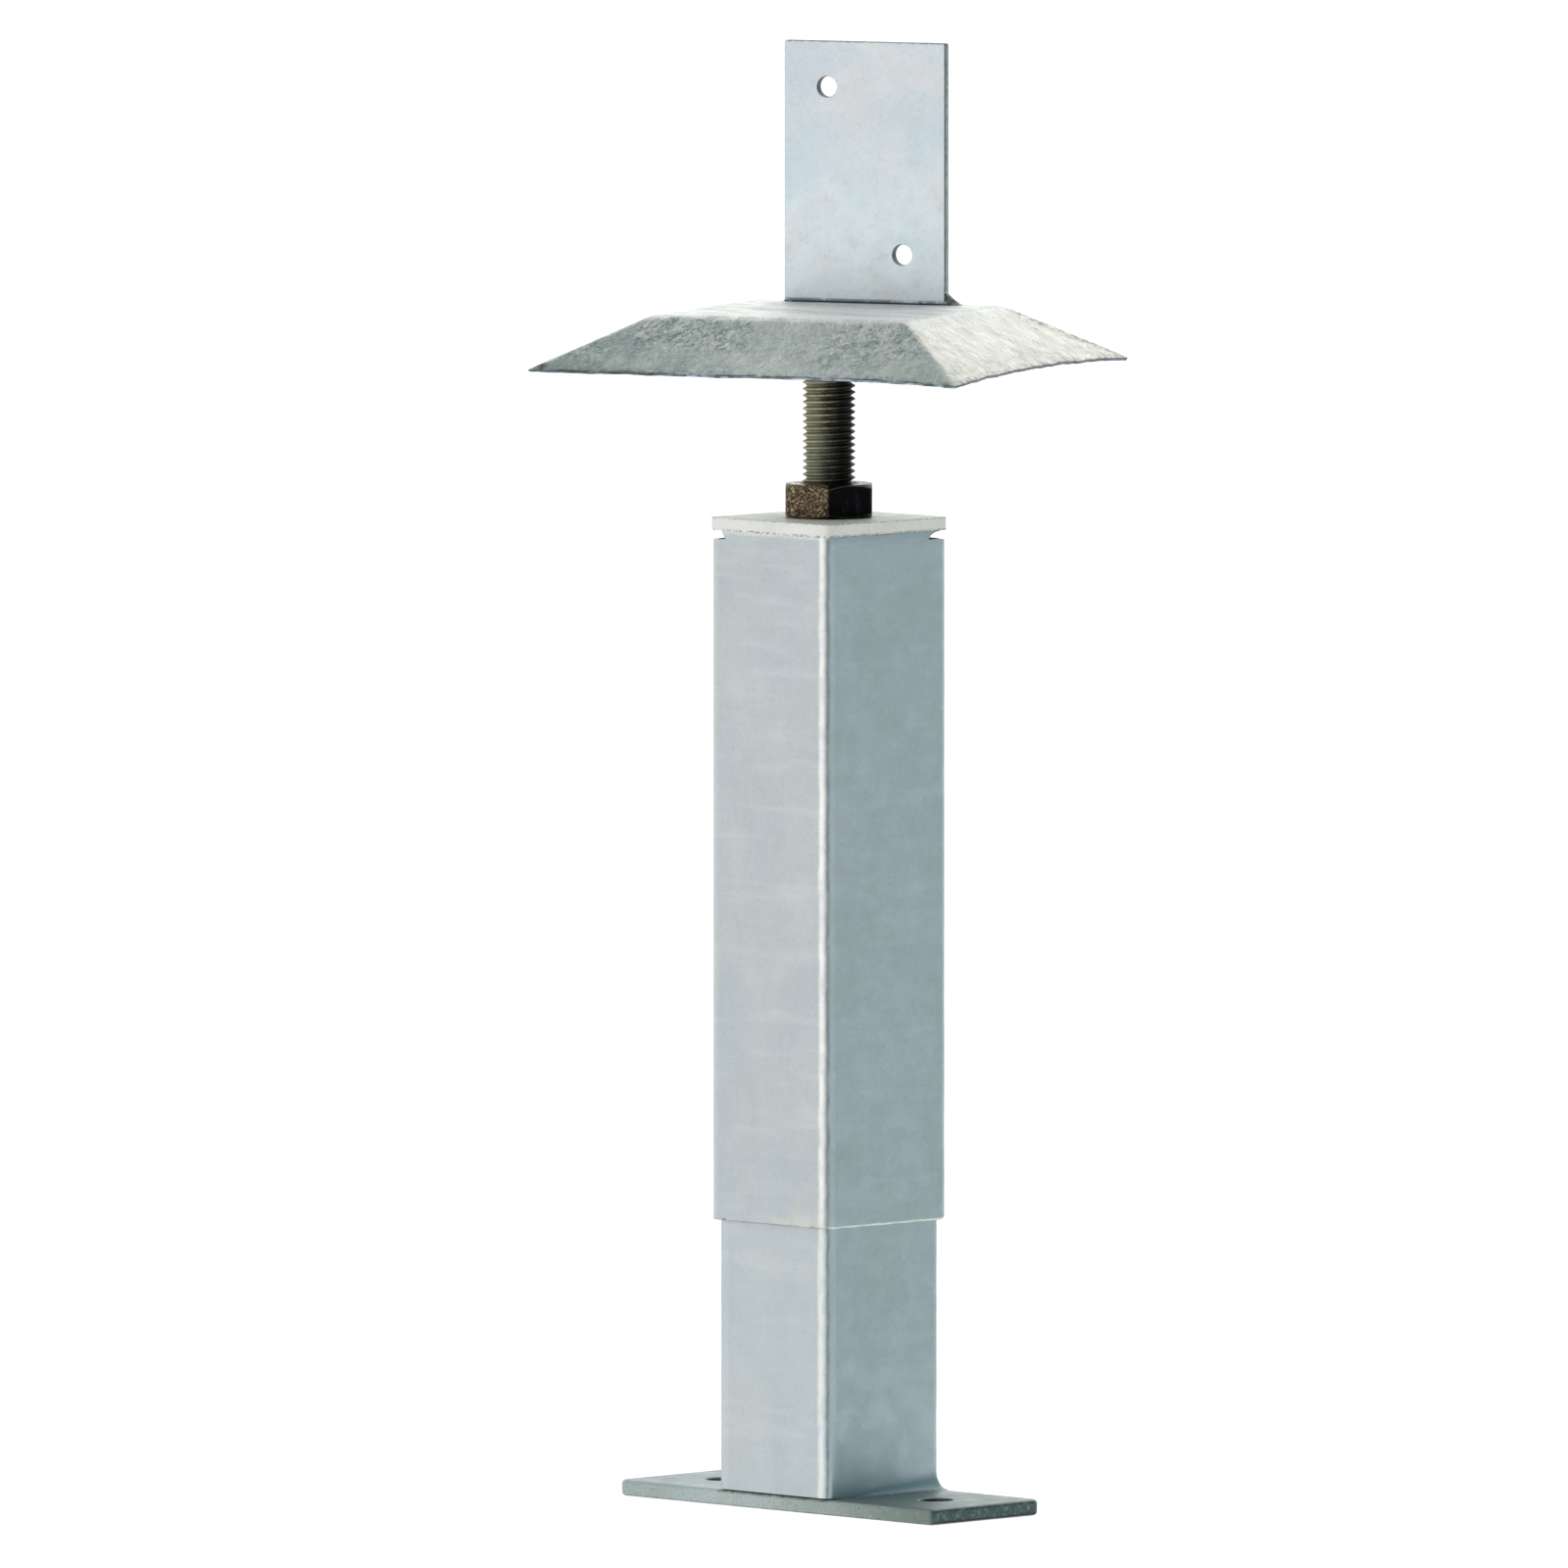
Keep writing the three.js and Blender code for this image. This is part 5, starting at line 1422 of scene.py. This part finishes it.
# ---------------------------------------------------------------- floor, light
bpy.ops.mesh.primitive_plane_add(size=90, location=(0, 0, -0.0002))
floor = bpy.context.object
floor.name = "floor"
fm = bpy.data.materials.new("floor_pale")
fm.use_nodes = True
t = fm.node_tree
bs = t.nodes["Principled BSDF"]
bs.inputs["Base Color"].default_value = (0.30, 0.30, 0.30, 1)
bs.inputs["Roughness"].default_value = 0.9
bs.inputs["Specular IOR Level"].default_value = 0.1
bs.inputs["Emission Color"].default_value = (1, 1, 1, 1)
bs.inputs["Emission Strength"].default_value = 0.93
floor.data.materials.append(fm)

# A soft studio: brightness by direction, as from large panels round the object.
w = bpy.data.worlds.new("studio")
scene.world = w
w.use_nodes = True
t = w.node_tree
t.nodes.clear()
wo = t.nodes.new("ShaderNodeOutputWorld")
bg = t.nodes.new("ShaderNodeBackground")
t.links.new(bg.outputs[0], wo.inputs[0])
tc = t.nodes.new("ShaderNodeTexCoord")


def wn(kind, **kw):
    x = t.nodes.new(kind)
    for k, v in kw.items():
        setattr(x, k, v)
    return x


sep = wn("ShaderNodeSeparateXYZ")
t.links.new(tc.outputs["Generated"], sep.inputs[0])
at = wn("ShaderNodeMath", operation="ARCTAN2")
t.links.new(sep.outputs[1], at.inputs[0])
t.links.new(sep.outputs[0], at.inputs[1])
turn = wn("ShaderNodeMapRange")
turn.inputs["From Min"].default_value = -math.pi
turn.inputs["From Max"].default_value = math.pi
t.links.new(at.outputs[0], turn.inputs["Value"])
rampn = wn("ShaderNodeValToRGB")
t.links.new(turn.outputs[0], rampn.inputs[0])
TEAL = (0.04, 0.18, 0.23)
LEFT = (0.80, 0.83, 0.85)
# direction in degrees from +X towards +Y, and the brightness seen that way
STOPS = [(-180, (1.5, 1.5, 1.5)), (-168, (0.9, 0.92, 0.93)), (-150, LEFT), (-129, LEFT), (-124, (2.3, 2.3, 2.25)),
         (-118, (2.3, 2.3, 2.25)), (-113, LEFT), (-90, LEFT), (-76, (0.42, 0.45, 0.46)), (-62, (0.04, 0.06, 0.07)),
         (-34, (0.03, 0.05, 0.06)), (-12, (0.17, 0.22, 0.24)), (4, (0.04, 0.07, 0.09)), (24, (0.03, 0.08, 0.10)),
         (36, TEAL), (62, TEAL), (82, (0.4, 0.5, 0.54)), (96, (1.9, 1.9, 1.88)), (150, (1.9, 1.9, 1.88)), (180, (1.5, 1.5, 1.5))]
cr = rampn.color_ramp
cr.interpolation = "LINEAR"
while len(cr.elements) < len(STOPS):
    cr.elements.new(0.5)
for e, (a_, c_) in zip(cr.elements, STOPS):
    e.position = (a_ + 180) / 360
for e, (a_, c_) in zip(cr.elements, STOPS):
    e.position = (a_ + 180) / 360
    e.color = (c_[0], c_[1], c_[2], 1)
up = wn("ShaderNodeMapRange", interpolation_type="SMOOTHSTEP")
up.inputs["From Min"].default_value = 0.58
up.inputs["From Max"].default_value = 0.82
t.links.new(sep.outputs[2], up.inputs["Value"])
mx = wn("ShaderNodeMix", data_type="RGBA")
t.links.new(up.outputs[0], mx.inputs[0])
t.links.new(rampn.outputs[0], mx.inputs[6])
mx.inputs[7].default_value = (0.66, 0.67, 0.67, 1)
t.links.new(mx.outputs[2], bg.inputs["Color"])
bg.inputs["Strength"].default_value = 1.0

# ---------------------------------------------------------------------- camera
F_PX, SCALE = 36168.0, 2.68
AZ, EL = math.radians(45.0), math.radians(4.43)
look = Vector((-math.sin(AZ) * math.cos(EL), math.cos(AZ) * math.cos(EL), -math.sin(EL)))
target = Vector((0, 0, 0.280))
cam = bpy.data.objects.new("camera", bpy.data.cameras.new("camera"))
scene.collection.objects.link(cam)
cam.location = target - look * (F_PX / SCALE * MM)
cam.rotation_mode = "QUATERNION"
cam.rotation_quaternion = look.to_track_quat("-Z", "Y")
cam.data.sensor_width = 36.0
cam.data.lens = F_PX * 36.0 / 1600.0
cam.data.shift_x = -(845.8 - 800.0) / 1600.0
cam.data.shift_y = -(800.0 - 788.66) / 1600.0
cam.data.clip_end = 200.0
cam.data.dof.use_dof = False
scene.camera = cam

scene.view_settings.view_transform = "Standard"
scene.view_settings.look = "None"
